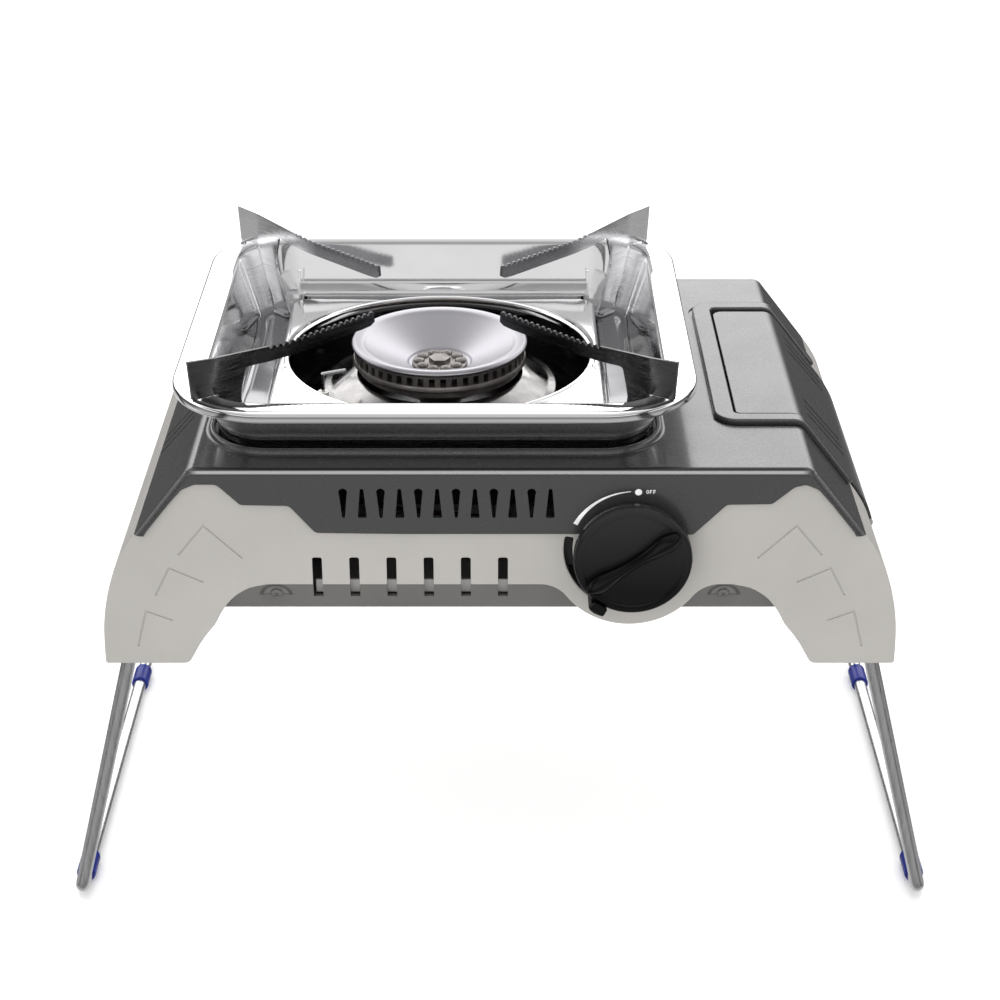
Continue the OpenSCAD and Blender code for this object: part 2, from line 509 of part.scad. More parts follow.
// serrated top edge, then the raised outer wing; s runs outward from the burner axis
module support_2d() {
    difference() {
        polygon([[47, 37.6], [47.8, 44.5], [106, 44.5], [168, 51], [166.6, rim_z + 0.1], [152.1, rim_z + 0.1], [151.9, 29], [150.6, 25], [145, 8], [141.7, -2], [139.7, -7.8], [126, -7.8],
            [128.6, -2], [133.2, 8], [137.4, 20], [137.2, 27], [134.2, 37.4], [132.4, 38.6], [118, 37.2], [106, 36.6], [55, 36.6]]);
        for (i = [0 : 16]) translate([51 + i * 4, 45.0 + max(0, i - 13) * 0.42]) rotate(45) square([1.7, 1.7], center = true);
    }
}
module support(a) {
    place() translate([burner_x, 0, 0]) rotate([0, 0, a]) {
        ext_y(-0.9, 0.9) support_2d();
        // foot flange riveted to the tray
        translate([126, -4, -7.9]) cube([13.5, 8, 1.3]);
    }
}
module pan_support_front_left() color([0.8, 0.8, 0.8]) support(225);
module pan_support_front_right() color([0.8, 0.8, 0.8]) support(315);
module pan_support_rear_left() color([0.8, 0.8, 0.8]) support(135);
module pan_support_rear_right() color([0.8, 0.8, 0.8]) support(45);
module support_rivets() color([0.85, 0.85, 0.85]) place() translate([burner_x, 0, 0])
    for (a = [45 : 90 : 315], s = [-1, 1]) rotate([0, 0, a]) translate([128.5, s * 2.5, -6.6]) cylinder(h = 1, r = 1.2);
// ---------- legs ----------
// quarter bend in the YZ plane about (y, z), from angle a to a + 90
module bend(y, z, r, a) { translate([0, y, z]) rotate([90, 0, 90]) rotate([0, 0, a]) rotate_extrude(angle = 90) translate([r, 0]) circle(rod_r); }
module leg_2() {
    br = leg_bend;
    tr = pin_bend;
    for (s = [-1, 1]) translate([0, s * leg_y, -leg_len + br]) cylinder(h = leg_len - br - tr, r = rod_r);
    translate([0, 0, -leg_len]) bar_y(2 * (leg_y - br), rod_r);
    bend(-leg_y + br, -leg_len + br, br, 180);
    bend(leg_y - br, -leg_len + br, br, 270);
    bend(-leg_y + tr, -tr, tr, 90);
    bend(leg_y - tr, -tr, tr, 0);
    for (s = [-1, 1]) translate([0, s * (leg_y - tr - 7.5), 0]) bar_y(15, rod_r);
}
module sleeves_2(dir) {
    for (s = [-1, 1]) difference() {
        translate([0, s * 100.5, -leg_len]) bar_y(17.6, sleeve_r);
        translate([0, s * 100.5, -leg_len]) bar_y(30, rod_r + 0.05);
    }
}
module left_leg() { place() translate([-pivot_x, 0, pivot_z]) rotate([0, splay, 0]) children(); }
module right_leg() { place() translate([pivot_x, 0, pivot_z]) rotate([0, -splay, 0]) children(); }
module foot_cut() { difference() { children(); translate([-300, -300, -20]) cube([600, 600, 20]); } }
module left_leg_frame() color([0.7, 0.7, 0.71]) left_leg() leg_2();
module right_leg_frame() color([0.7, 0.7, 0.71]) right_leg() leg_2();
module left_foot_sleeves() color([0.13, 0.16, 0.55]) foot_cut() left_leg() sleeves_2();
module right_foot_sleeves() color([0.13, 0.16, 0.55]) foot_cut() right_leg() sleeves_2();
module brackets() {
    for (s = [-1, 1]) difference() {
        union() {
            translate([-pivot_x, s * bracket_y, pivot_z]) bar_y(5, 7.6);
            translate([-pivot_x - 7, s * bracket_y - 2.5, pivot_z]) cube([14.6, 5, -belly_z - pivot_z - 0.1]);
            translate([-pivot_x - 7, s > 0 ? bracket_y - 15 : -bracket_y - 2.5, -belly_z - 1.6]) cube([23.4, 17.5, 1.5]);
            // stop that the opened leg rests on
            translate([-pivot_x - 10, s > 0 ? bracket_y - 2.5 : -bracket_y - 18, pivot_z - 15]) cube([1.8, 20.5, 6]);
            translate([-pivot_x - 9, s * bracket_y - 2.5, pivot_z - 15]) cube([5.8, 5, 16]);
        }
        translate([-pivot_x, s * bracket_y, pivot_z]) bar_y(30, rod_r + 0.05);
        translate([-pivot_x + 10, s * (bracket_y - 10), -90]) cylinder(h = 20, r = 1.5);
    }
}
module left_leg_brackets() color([0.5, 0.5, 0.5]) place() brackets();
module right_leg_brackets() color([0.5, 0.5, 0.5]) place() mirror([1, 0, 0]) brackets();
module bracket_screws() color([0.6, 0.6, 0.6]) place()
    for (m = [-1, 1], s = [-1, 1]) translate([m * (pivot_x - 10), s * (bracket_y - 10), -belly_z - 1.6]) rotate([180, 0, 0]) screw(l = 1.5, r = 1.4, hr = 2.6, hh = 1.4);

top_shell();
front_panel();
rear_panel();
left_side_panel();
right_side_panel();
bottom_pan();
belly_screws();
shell_screws();
burner_well();
well_screws();
bay_partition();
canister_cradle();
regulator_body();
diaphragm();
diaphragm_spring();
diaphragm_cover();
regulator_screws();
inlet_seal();
collar_guide();
jet_nozzle();
mixing_tube();
burner_body();
burner_bracket();
base_ring();
flame_ring();
burner_cap();
cap_nut();
piezo_igniter();
igniter_lead();
electrode_insulator();
igniter_electrode();
lid_hinge_pin();
left_leg_brackets();
right_leg_brackets();
bracket_screws();
push_sleeve();
return_spring();
spindle();
gas_knob();
lock_lever();
canister_slider();
canister_lid();
drip_tray();
wind_shields();
pan_support_front_left();
pan_support_front_right();
pan_support_rear_left();
pan_support_rear_right();
support_rivets();
left_leg_frame();
left_foot_sleeves();
right_leg_frame();
right_foot_sleeves();
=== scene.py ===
import bpy, bmesh, math, json
from mathutils import Vector, Matrix


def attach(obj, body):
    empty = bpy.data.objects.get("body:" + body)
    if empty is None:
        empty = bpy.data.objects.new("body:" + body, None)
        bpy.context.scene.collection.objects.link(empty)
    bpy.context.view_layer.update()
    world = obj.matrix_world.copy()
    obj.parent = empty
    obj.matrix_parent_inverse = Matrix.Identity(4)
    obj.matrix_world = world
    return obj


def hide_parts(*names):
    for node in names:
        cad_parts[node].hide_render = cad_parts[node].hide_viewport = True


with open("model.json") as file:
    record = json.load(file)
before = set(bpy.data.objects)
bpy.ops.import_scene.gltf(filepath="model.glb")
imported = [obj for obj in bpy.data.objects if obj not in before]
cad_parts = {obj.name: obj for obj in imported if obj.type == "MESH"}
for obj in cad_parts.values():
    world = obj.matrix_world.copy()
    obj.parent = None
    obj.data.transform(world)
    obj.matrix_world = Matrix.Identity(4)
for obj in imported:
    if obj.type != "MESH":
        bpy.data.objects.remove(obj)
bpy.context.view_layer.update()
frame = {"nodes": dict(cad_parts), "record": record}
scene = bpy.context.scene
nodes = frame["nodes"]

# Shapes are drawn in millimetres about the middle of the top plate (X right, Y back, Z up, 0 on the plate)
# and put() moves them to the model's own place, in metres.
TOP = 90 + 177.6 * math.cos(math.radians(14.3)) + 4.8
YO = 9.15
RAD = math.radians


def cos(a):
    return math.cos(math.radians(a))


def sin(a):
    return math.sin(math.radians(a))


# ------------------------------------------------------------------ materials
def new_mat(name, color, metallic=0.0, rough=0.4, coat=0.0, coat_rough=0.1, spec=0.5, aniso=0.0):
    m = bpy.data.materials.new(name)
    m.use_nodes = True
    nt = m.node_tree
    b = next(n for n in nt.nodes if n.type == "BSDF_PRINCIPLED")
    b.inputs["Base Color"].default_value = (*color, 1)
    b.inputs["Metallic"].default_value = metallic
    b.inputs["Roughness"].default_value = rough
    b.inputs["Coat Weight"].default_value = coat
    b.inputs["Coat Roughness"].default_value = coat_rough
    b.inputs["Specular IOR Level"].default_value = spec
    b.inputs["Anisotropic"].default_value = aniso
    return m, nt, b


def coord(nt, scale=(1, 1, 1), rot=(0, 0, 0)):
    tc = nt.nodes.new("ShaderNodeTexCoord")
    mp = nt.nodes.new("ShaderNodeMapping")
    mp.inputs["Scale"].default_value = scale
    mp.inputs["Rotation"].default_value = rot
    nt.links.new(tc.outputs["Object"], mp.inputs["Vector"])
    return mp.outputs["Vector"]


def noise(nt, vec, scale, detail=3.0, rough=0.5, distortion=0.0):
    n = nt.nodes.new("ShaderNodeTexNoise")
    n.inputs["Scale"].default_value = scale
    n.inputs["Detail"].default_value = detail
    n.inputs["Roughness"].default_value = rough
    n.inputs["Distortion"].default_value = distortion
    nt.links.new(vec, n.inputs["Vector"])
    return n.outputs["Fac"]


def ranged(nt, fac, lo, hi, a=0.3, b=0.7):
    n = nt.nodes.new("ShaderNodeMapRange")
    n.inputs["From Min"].default_value = a
    n.inputs["From Max"].default_value = b
    n.inputs["To Min"].default_value = lo
    n.inputs["To Max"].default_value = hi
    nt.links.new(fac, n.inputs["Value"])
    return n.outputs["Result"]


def vary_color(nt, b, fac, c0, c1, a=0.3, bb=0.7):
    n = nt.nodes.new("ShaderNodeValToRGB")
    n.color_ramp.elements[0].position = a
    n.color_ramp.elements[1].position = bb
    n.color_ramp.elements[0].color = (*c0, 1)
    n.color_ramp.elements[1].color = (*c1, 1)
    nt.links.new(fac, n.inputs["Fac"])
    nt.links.new(n.outputs["Color"], b.inputs["Base Color"])


def vary_rough(nt, b, fac, lo, hi):
    nt.links.new(ranged(nt, fac, lo, hi), b.inputs["Roughness"])


def add_bump(nt, b, fac, strength, dist):
    n = nt.nodes.new("ShaderNodeBump")
    n.inputs["Strength"].default_value = strength
    n.inputs["Distance"].default_value = dist
    nt.links.new(fac, n.inputs["Height"])
    if b.inputs["Normal"].is_linked:
        nt.links.new(b.inputs["Normal"].links[0].from_socket, n.inputs["Normal"])
    nt.links.new(n.outputs["Normal"], b.inputs["Normal"])


def make_materials():
    M = {}
    # dark metallic satin paint with a fine flake
    m, nt, b = new_mat("shell_metal", (0.075, 0.074, 0.076), 0.55, 0.24, 0.45, 0.12)
    fl = noise(nt, coord(nt), 1500, 2.0, 0.7)
    vary_color(nt, b, fl, (0.062, 0.061, 0.062), (0.125, 0.123, 0.121), 0.42, 0.72)
    vary_rough(nt, b, noise(nt, coord(nt), 40, 3), 0.25, 0.31)
    # painted highlight along the front fold, a bright band standing in for the overhead light it reflects, under a
    # painted dark line at the plate's edge
    ps = nt.nodes.new("ShaderNodeSeparateXYZ")
    nt.links.new(coord(nt), ps.inputs["Vector"])
    front = ranged(nt, ps.outputs["Y"], 1.0, 0.0, (YO - 129.9) / 1000, (YO - 129.3) / 1000)
    fold_highlight_ramp = nt.nodes.new("ShaderNodeValToRGB")
    while len(fold_highlight_ramp.color_ramp.elements) < 5:
        fold_highlight_ramp.color_ramp.elements.new(0.5)
    for e, (q, v) in zip(fold_highlight_ramp.color_ramp.elements, [(0.24, 0.075), (0.36, 0.46), (0.60, 0.52), (0.74, 0.02), (1.0, 0.03)]):
        e.position = q
        e.color = (v, v, v, 1)
    nt.links.new(ranged(nt, ps.outputs["Z"], 0.0, 1.0, (TOP - 3.4) / 1000, (TOP + 0.1) / 1000), fold_highlight_ramp.inputs["Fac"])
    mxc = nt.nodes.new("ShaderNodeMix")
    mxc.data_type = "RGBA"
    ax = nt.nodes.new("ShaderNodeMath")
    ax.operation = "ABSOLUTE"
    nt.links.new(ps.outputs["X"], ax.inputs[0])
    fold_highlight_mask = nt.nodes.new("ShaderNodeMath")
    fold_highlight_mask.operation = "MULTIPLY"
    nt.links.new(front, fold_highlight_mask.inputs[0])
    nt.links.new(ranged(nt, ax.outputs[0], 1.0, 0.0, 0.1495, 0.1535), fold_highlight_mask.inputs[1])
    nt.links.new(fold_highlight_mask.outputs[0], mxc.inputs[0])
    nt.links.new(b.inputs["Base Color"].links[0].from_socket, mxc.inputs[6])
    nt.links.new(fold_highlight_ramp.outputs["Color"], mxc.inputs[7])
    nt.links.new(mxc.outputs[2], b.inputs["Base Color"])
    add_bump(nt, b, noise(nt, coord(nt), 900, 2), 0.12, 0.0002)
    M["shell_metal"] = m
    # warm light grey paint
    m, nt, b = new_mat("case_cream", (0.37, 0.357, 0.335), 0.0, 0.42, 0.0, 0.1, 0.45)
    vary_color(nt, b, noise(nt, coord(nt), 18, 4), (0.358, 0.345, 0.323), (0.388, 0.374, 0.351))
    vary_rough(nt, b, noise(nt, coord(nt), 60, 3), 0.38, 0.48)
    add_bump(nt, b, noise(nt, coord(nt), 700, 2), 0.10, 0.0002)
    M["case_cream"] = m
    # the same paint where the case turns under, painted darker as shade because these faces look down
    m, nt, b = new_mat("case_painted_shade", (0.118, 0.115, 0.108), 0.0, 0.42, 0.0, 0.1, 0.4)
    vary_color(nt, b, noise(nt, coord(nt), 18, 4), (0.110, 0.107, 0.101), (0.126, 0.123, 0.116))
    # painted shade and light on the screw dimples: a dark arc round the upper rim of each dimple and a lighter floor
    # inside it, on the upper half only
    dp = nt.nodes.new("ShaderNodeSeparateXYZ")
    nt.links.new(coord(nt), dp.inputs["Vector"])
    dx = nt.nodes.new("ShaderNodeMath")
    dx.operation = "ABSOLUTE"
    nt.links.new(dp.outputs["X"], dx.inputs[0])
    dv = nt.nodes.new("ShaderNodeCombineXYZ")
    nt.links.new(ranged(nt, dx.outputs[0], -10.0, 10.0, 0.104, 0.124), dv.inputs["X"])
    nt.links.new(ranged(nt, dp.outputs["Z"], -10.5, 10.5, (TOP - 83.2) / 1000, (TOP - 63.2) / 1000), dv.inputs["Y"])
    dl = nt.nodes.new("ShaderNodeVectorMath")
    dl.operation = "LENGTH"
    nt.links.new(dv.outputs["Vector"], dl.inputs[0])
    dr = nt.nodes.new("ShaderNodeValToRGB")
    while len(dr.color_ramp.elements) < 6:
        dr.color_ramp.elements.new(0.5)
    for e, (q, v) in zip(dr.color_ramp.elements, [(0.0, 1.0), (0.45, 1.25), (0.62, 1.0), (0.72, 0.45), (0.82, 0.55), (0.90, 1.0)]):
        e.position = q
        e.color = (v, v, v, 1)
    low = ranged(nt, dp.outputs["Z"], 10.0, 0.0, (TOP - 75.0) / 1000, (TOP - 72.5) / 1000)
    ad = nt.nodes.new("ShaderNodeMath")
    nt.links.new(dl.outputs["Value"], ad.inputs[0])
    nt.links.new(low, ad.inputs[1])
    nt.links.new(ranged(nt, ad.outputs[0], 0.0, 1.0, 0.0, 10.0), dr.inputs["Fac"])
    painted_dimple_shade = nt.nodes.new("ShaderNodeMix")
    painted_dimple_shade.data_type = "RGBA"
    painted_dimple_shade.blend_type = "MULTIPLY"
    painted_dimple_shade.inputs[0].default_value = 1.0
    nt.links.new(b.inputs["Base Color"].links[0].from_socket, painted_dimple_shade.inputs[6])
    nt.links.new(dr.outputs["Color"], painted_dimple_shade.inputs[7])
    nt.links.new(painted_dimple_shade.outputs[2], b.inputs["Base Color"])
    vary_rough(nt, b, noise(nt, coord(nt), 60, 3), 0.38, 0.48)
    add_bump(nt, b, noise(nt, coord(nt), 700, 2), 0.10, 0.0002)
    M["case_painted_shade"] = m
    m, nt, b = new_mat("belly_steel", (0.36, 0.35, 0.33), 0.2, 0.42)
    # painted light: the pan's upturned front edge, seen through the slots, is painted far lighter than the rest of the
    # pan
    pe = nt.nodes.new("ShaderNodeSeparateXYZ")
    nt.links.new(coord(nt), pe.inputs["Vector"])
    vary_color(nt, b, ranged(nt, pe.outputs["Y"], 1.0, 0.0, (YO - 126) / 1000, (YO - 118) / 1000), (0.36, 0.35, 0.335), (0.80, 0.78, 0.75), 0.0, 1.0)
    vary_rough(nt, b, noise(nt, coord(nt), 20, 4), 0.34, 0.5)
    add_bump(nt, b, noise(nt, coord(nt), 600, 2), 0.1, 0.0002)
    M["belly_steel"] = m
    # polished stainless
    m, nt, b = new_mat("tray_steel", (0.88, 0.88, 0.885), 1.0, 0.07)
    vary_rough(nt, b, noise(nt, coord(nt), 25, 4, 0.6), 0.05, 0.11)
    add_bump(nt, b, noise(nt, coord(nt), 22, 2, 0.4), 0.20, 0.0012)
    # the moat's floor is painted darker than the polished sides, as painted shade standing in for the dark reflection
    # it shows
    tz = nt.nodes.new("ShaderNodeSeparateXYZ")
    nt.links.new(coord(nt), tz.inputs["Vector"])
    moat_painted_shade = ranged(nt, tz.outputs["Z"], 0.0, 1.0, (TOP - 7.4) / 1000, (TOP - 3.5) / 1000)
    vary_color(nt, b, moat_painted_shade, (0.24, 0.24, 0.245), (0.88, 0.88, 0.885), 0.0, 1.0)
    M["tray_steel"] = m
    m, nt, b = new_mat("ring_chrome", (0.30, 0.29, 0.285), 1.0, 0.14)
    vary_color(nt, b, noise(nt, coord(nt), 40, 4, 0.6), (0.16, 0.155, 0.15), (0.36, 0.35, 0.345))
    vary_rough(nt, b, noise(nt, coord(nt), 60, 3), 0.10, 0.24)
    M["ring_chrome"] = m
    m, nt, b = new_mat("support_steel", (0.62, 0.62, 0.63), 1.0, 0.2)
    # darkened by heat towards the burner
    mp = nt.nodes.new("ShaderNodeMapping")
    mp.inputs["Location"].default_value = (0.033, -YO / 1000, 0)
    nt.links.new(coord(nt), mp.inputs["Vector"])
    sp = nt.nodes.new("ShaderNodeSeparateXYZ")
    fl2 = nt.nodes.new("ShaderNodeCombineXYZ")
    nt.links.new(mp.outputs["Vector"], sp.inputs["Vector"])
    nt.links.new(sp.outputs["X"], fl2.inputs["X"])
    nt.links.new(sp.outputs["Y"], fl2.inputs["Y"])
    ln = nt.nodes.new("ShaderNodeVectorMath")
    ln.operation = "LENGTH"
    nt.links.new(fl2.outputs["Vector"], ln.inputs[0])
    heat = nt.nodes.new("ShaderNodeMapRange")
    heat.inputs["From Min"].default_value = 0.100
    heat.inputs["From Max"].default_value = 0.150
    nt.links.new(ln.outputs["Value"], heat.inputs["Value"])
    vary_color(nt, b, heat.outputs["Result"], (0.10, 0.10, 0.105), (0.60, 0.60, 0.61), 0.0, 1.0)
    # painted shade and light: the front pair is painted darker and the rear pair lighter, for how each pair faces the
    # studio's lights
    side = ranged(nt, sp.outputs["Y"], 0.22, 1.62, -0.08, 0.08)
    painted_shading = nt.nodes.new("ShaderNodeMix")
    painted_shading.data_type = "RGBA"
    painted_shading.blend_type = "MULTIPLY"
    painted_shading.inputs[0].default_value = 1.0
    grey = nt.nodes.new("ShaderNodeCombineColor")
    for k in range(3):
        nt.links.new(side, grey.inputs[k])
    nt.links.new(b.inputs["Base Color"].links[0].from_socket, painted_shading.inputs[6])
    nt.links.new(grey.outputs["Color"], painted_shading.inputs[7])
    nt.links.new(painted_shading.outputs[2], b.inputs["Base Color"])
    vary_rough(nt, b, noise(nt, coord(nt, (1, 1, 14)), 60, 4, 0.6), 0.14, 0.30)
    add_bump(nt, b, noise(nt, coord(nt), 45, 3, 0.5), 0.20, 0.0006)
    M["support_steel"] = m
    # spun burner cap, brushed in circles
    m, nt, b = new_mat("burner_steel", (0.42, 0.41, 0.435), 1.0, 0.3, aniso=0.6)
    tan = nt.nodes.new("ShaderNodeTangent")
    tan.direction_type = "RADIAL"
    tan.axis = "Z"
    nt.links.new(tan.outputs["Tangent"], b.inputs["Tangent"])
    tc = nt.nodes.new("ShaderNodeTexCoord")
    mp = nt.nodes.new("ShaderNodeMapping")
    mp.inputs["Location"].default_value = (0.033, -YO / 1000, 0)
    ln = nt.nodes.new("ShaderNodeVectorMath")
    ln.operation = "LENGTH"
    cmb = nt.nodes.new("ShaderNodeCombineXYZ")
    nt.links.new(tc.outputs["Object"], mp.inputs["Vector"])
    sp = nt.nodes.new("ShaderNodeSeparateXYZ")
    fl2 = nt.nodes.new("ShaderNodeCombineXYZ")
    nt.links.new(mp.outputs["Vector"], sp.inputs["Vector"])
    nt.links.new(sp.outputs["X"], fl2.inputs["X"])
    nt.links.new(sp.outputs["Y"], fl2.inputs["Y"])
    nt.links.new(fl2.outputs["Vector"], ln.inputs[0])
    nt.links.new(ln.outputs["Value"], cmb.inputs["X"])
    ringn = noise(nt, cmb.outputs["Vector"], 2600, 2, 0.6)
    vary_rough(nt, b, ringn, 0.28, 0.40)
    add_bump(nt, b, ringn, 0.12, 0.0002)
    M["burner_steel"] = m
    m, nt, b = new_mat("burner_iron", (0.20, 0.185, 0.175), 0.85, 0.38)
    vary_color(nt, b, noise(nt, coord(nt), 60, 4, 0.6), (0.14, 0.125, 0.12), (0.30, 0.28, 0.265))
    vary_rough(nt, b, noise(nt, coord(nt), 150, 3), 0.30, 0.48)
    add_bump(nt, b, noise(nt, coord(nt), 500, 3), 0.2, 0.0003)
    M["burner_iron"] = m
    m, nt, b = new_mat("well_enamel", (0.010, 0.010, 0.011), 0.0, 0.22, 0.3, 0.12)
    vary_rough(nt, b, noise(nt, coord(nt), 50, 3), 0.18, 0.30)
    add_bump(nt, b, noise(nt, coord(nt), 300, 2), 0.1, 0.0003)
    M["well_enamel"] = m
    # gloss moulded plastic
    m, nt, b = new_mat("knob_black", (0.006, 0.006, 0.0065), 0.0, 0.22, 0.0, 0.12, 0.22)
    kp = nt.nodes.new("ShaderNodeSeparateXYZ")
    nt.links.new(coord(nt), kp.inputs["Vector"])
    # painted light: the upper part of the disc is painted lighter, as if lit from above
    painted_shading = ranged(nt, kp.outputs["Z"], 0.0, 1.0, (TOP - 62) / 1000, (TOP - 20) / 1000)
    vary_color(nt, b, painted_shading, (0.0025, 0.0025, 0.0027), (0.019, 0.019, 0.0195), 0.0, 1.0)
    # painted shade: the grip, proud of the disc, is painted near-black for the shadow along its flanks
    grip_painted_shade = ranged(nt, kp.outputs["Y"], 1.0, 0.0, (YO - 146.2) / 1000, (YO - 145.8) / 1000)
    km = nt.nodes.new("ShaderNodeMix")
    km.data_type = "RGBA"
    nt.links.new(grip_painted_shade, km.inputs[0])
    nt.links.new(b.inputs["Base Color"].links[0].from_socket, km.inputs[6])
    km.inputs[7].default_value = (0.0015, 0.0015, 0.0016, 1)
    nt.links.new(km.outputs[2], b.inputs["Base Color"])
    vary_rough(nt, b, noise(nt, coord(nt), 120, 3), 0.16, 0.27)
    add_bump(nt, b, noise(nt, coord(nt), 900, 2), 0.05, 0.0002)
    M["knob_black"] = m
    # drawn aluminium rod
    m, nt, b = new_mat("leg_aluminium", (0.68, 0.68, 0.69), 1.0, 0.30)
    br = noise(nt, coord(nt, (1, 1, 0.04)), 900, 3, 0.6)
    vary_color(nt, b, br, (0.56, 0.56, 0.57), (0.80, 0.80, 0.81))
    vary_rough(nt, b, br, 0.24, 0.40)
    add_bump(nt, b, br, 0.15, 0.0002)
    M["leg_aluminium"] = m
    m, nt, b = new_mat("sleeve_blue", (0.012, 0.02, 0.20), 0.0, 0.34, spec=0.3)
    vary_color(nt, b, noise(nt, coord(nt), 80, 3), (0.009, 0.016, 0.17), (0.015, 0.025, 0.235))
    add_bump(nt, b, noise(nt, coord(nt), 900, 2), 0.12, 0.0002)
    M["sleeve_blue"] = m

    def simple(name, color, metallic, rough, scale=80, dist=0.0002):
        m, nt, b = new_mat(name, color, metallic, rough)
        n = noise(nt, coord(nt), scale, 3)
        vary_color(nt, b, n, [c * 0.86 for c in color], [min(1, c * 1.14) for c in color])
        vary_rough(nt, b, n, rough * 0.85, min(1, rough * 1.2))
        add_bump(nt, b, noise(nt, coord(nt), scale * 8, 2), 0.12, dist)
        M[name] = m

    simple("screw_steel", (0.62, 0.62, 0.63), 1.0, 0.25, 300)
    simple("zinc_casting", (0.45, 0.45, 0.46), 0.9, 0.45, 120)
    simple("rubber_black", (0.02, 0.02, 0.02), 0.0, 0.6)
    simple("spring_steel", (0.6, 0.6, 0.61), 1.0, 0.25)
    simple("bracket_steel", (0.5, 0.5, 0.51), 1.0, 0.35, 60)
    simple("brass", (0.68, 0.48, 0.20), 1.0, 0.28)
    simple("tube_aluminium", (0.62, 0.62, 0.63), 1.0, 0.32, 60)
    simple("igniter_black", (0.02, 0.02, 0.02), 0.0, 0.4)
    simple("lead_red", (0.05, 0.012, 0.012), 0.0, 0.45)
    simple("ceramic_white", (0.80, 0.78, 0.72), 0.0, 0.25)
    simple("sleeve_acetal", (0.70, 0.68, 0.55), 0.0, 0.4)
    simple("print_white", (0.86, 0.86, 0.86), 0.0, 0.5, 200, 0.00005)
    return M


MAT = make_materials()

# ------------------------------------------------------------------ mesh helpers
def mk(name, verts, faces):
    me = bpy.data.meshes.new(name)
    me.from_pydata([tuple(v) for v in verts], [], [tuple(f) for f in faces])
    o = bpy.data.objects.new(name, me)
    scene.collection.objects.link(o)
    clean(o)
    return o


def clean(o):
    bm = bmesh.new()
    bm.from_mesh(o.data)
    bmesh.ops.remove_doubles(bm, verts=bm.verts, dist=0.0005)
    bmesh.ops.dissolve_degenerate(bm, edges=bm.edges, dist=0.0005)
    bmesh.ops.recalc_face_normals(bm, faces=bm.faces)
    bm.to_mesh(o.data)
    bm.free()


def gone(o):
    me = o.data
    bpy.data.objects.remove(o)
    if me is not None and me.users == 0:
        bpy.data.meshes.remove(me)


def bake(o):
    bpy.context.view_layer.update()
    dg = bpy.context.evaluated_depsgraph_get()
    me = bpy.data.meshes.new_from_object(o.evaluated_get(dg), depsgraph=dg)
    o.modifiers.clear()
    old = o.data
    o.data = me
    bpy.data.meshes.remove(old)


def boolean(o, others, op="DIFFERENCE"):
    others = others if isinstance(others, (list, tuple)) else [others]
    for c in others:
        m = o.modifiers.new("cut", "BOOLEAN")
        m.operation = op
        m.solver = "EXACT"
        m.object = c
    bake(o)
    for c in others:
        gone(c)
    return o


def join(name, objs):
    """One object of several closed meshes."""
    verts, faces = [], []
    for o in objs:
        n = len(verts)
        verts += [v.co.copy() for v in o.data.vertices]
        faces += [tuple(n + i for i in p.vertices) for p in o.data.polygons]
    for o in objs:
        gone(o)
    me = bpy.data.meshes.new(name)
    me.from_pydata(verts, [], faces)
    o = bpy.data.objects.new(name, me)
    scene.collection.objects.link(o)
    return o


def loft(name, rings, close=False, caps=True):
    n, m = len(rings[0]), len(rings)
    faces = []
    for i in range(m if close else m - 1):
        a, b = i * n, ((i + 1) % m) * n
        for k in range(n):
            l = (k + 1) % n
            faces.append((a + k, a + l, b + l, b + k))
    if caps and not close:
        faces.append(tuple(range(n)))
        faces.append(tuple((m - 1) * n + k for k in range(n)))
    return mk(name, [p for r in rings for p in r], faces)


def rring(h, r, z, cx=-33.0, cy=0.0, N=14):
    r = min(r, h)
    out = []
    for q in range(4):
        sx, sy = (1, -1, -1, 1)[q], (1, 1, -1, -1)[q]
        for k in range(N + 1):
            a = 90 * q + 90 * k / N
            out.append((cx + sx * (h - r) + r * cos(a), cy + sy * (h - r) + r * sin(a), z))
    return out


def lathe(name, prof, n=96, cx=0.0, cy=0.0, cz=0.0, axis="Z"):
    """A closed outline (r, z) turned about Z or about Y; points on the axis close it there."""
    m = len(prof)
    verts, faces = [], []
    for k in range(n):
        c, s = cos(360 * k / n), sin(360 * k / n)
        for r, z in prof:
            verts.append((cx + r * c, cy + r * s, cz + z) if axis == "Z" else (cx + r * c, cy + z, cz + r * s))
    for k in range(n):
        l = (k + 1) % n
        for i in range(m):
            j = (i + 1) % m
            if prof[i][0] < 1e-6 and prof[j][0] < 1e-6:
                continue
            faces.append((k * m + i, k * m + j, l * m + j, l * m + i))
    return mk(name, verts, faces)


def tube(name, pts, r, n=20, closed=False):
    pts = [Vector(p) for p in pts]
    m = len(pts)
    t0 = (pts[1] - pts[0]).normalized()
    up = Vector((0, 0, 1)) if abs(t0.z) < 0.9 else Vector((1, 0, 0))
    u = t0.cross(up).normalized()
    rings = []
    for i in range(m):
        if closed:
            t = (pts[(i + 1) % m] - pts[i - 1]).normalized()
        else:
            t = (pts[min(i + 1, m - 1)] - pts[max(i - 1, 0)]).normalized()
        u = (u - t * u.dot(t)).normalized()
        v = t.cross(u)
        rr = r[i] if isinstance(r, (list, tuple)) else r
        rings.append([tuple(pts[i] + rr * (cos(360 * k / n) * u + sin(360 * k / n) * v)) for k in range(n)])
    return loft(name, rings, close=closed)


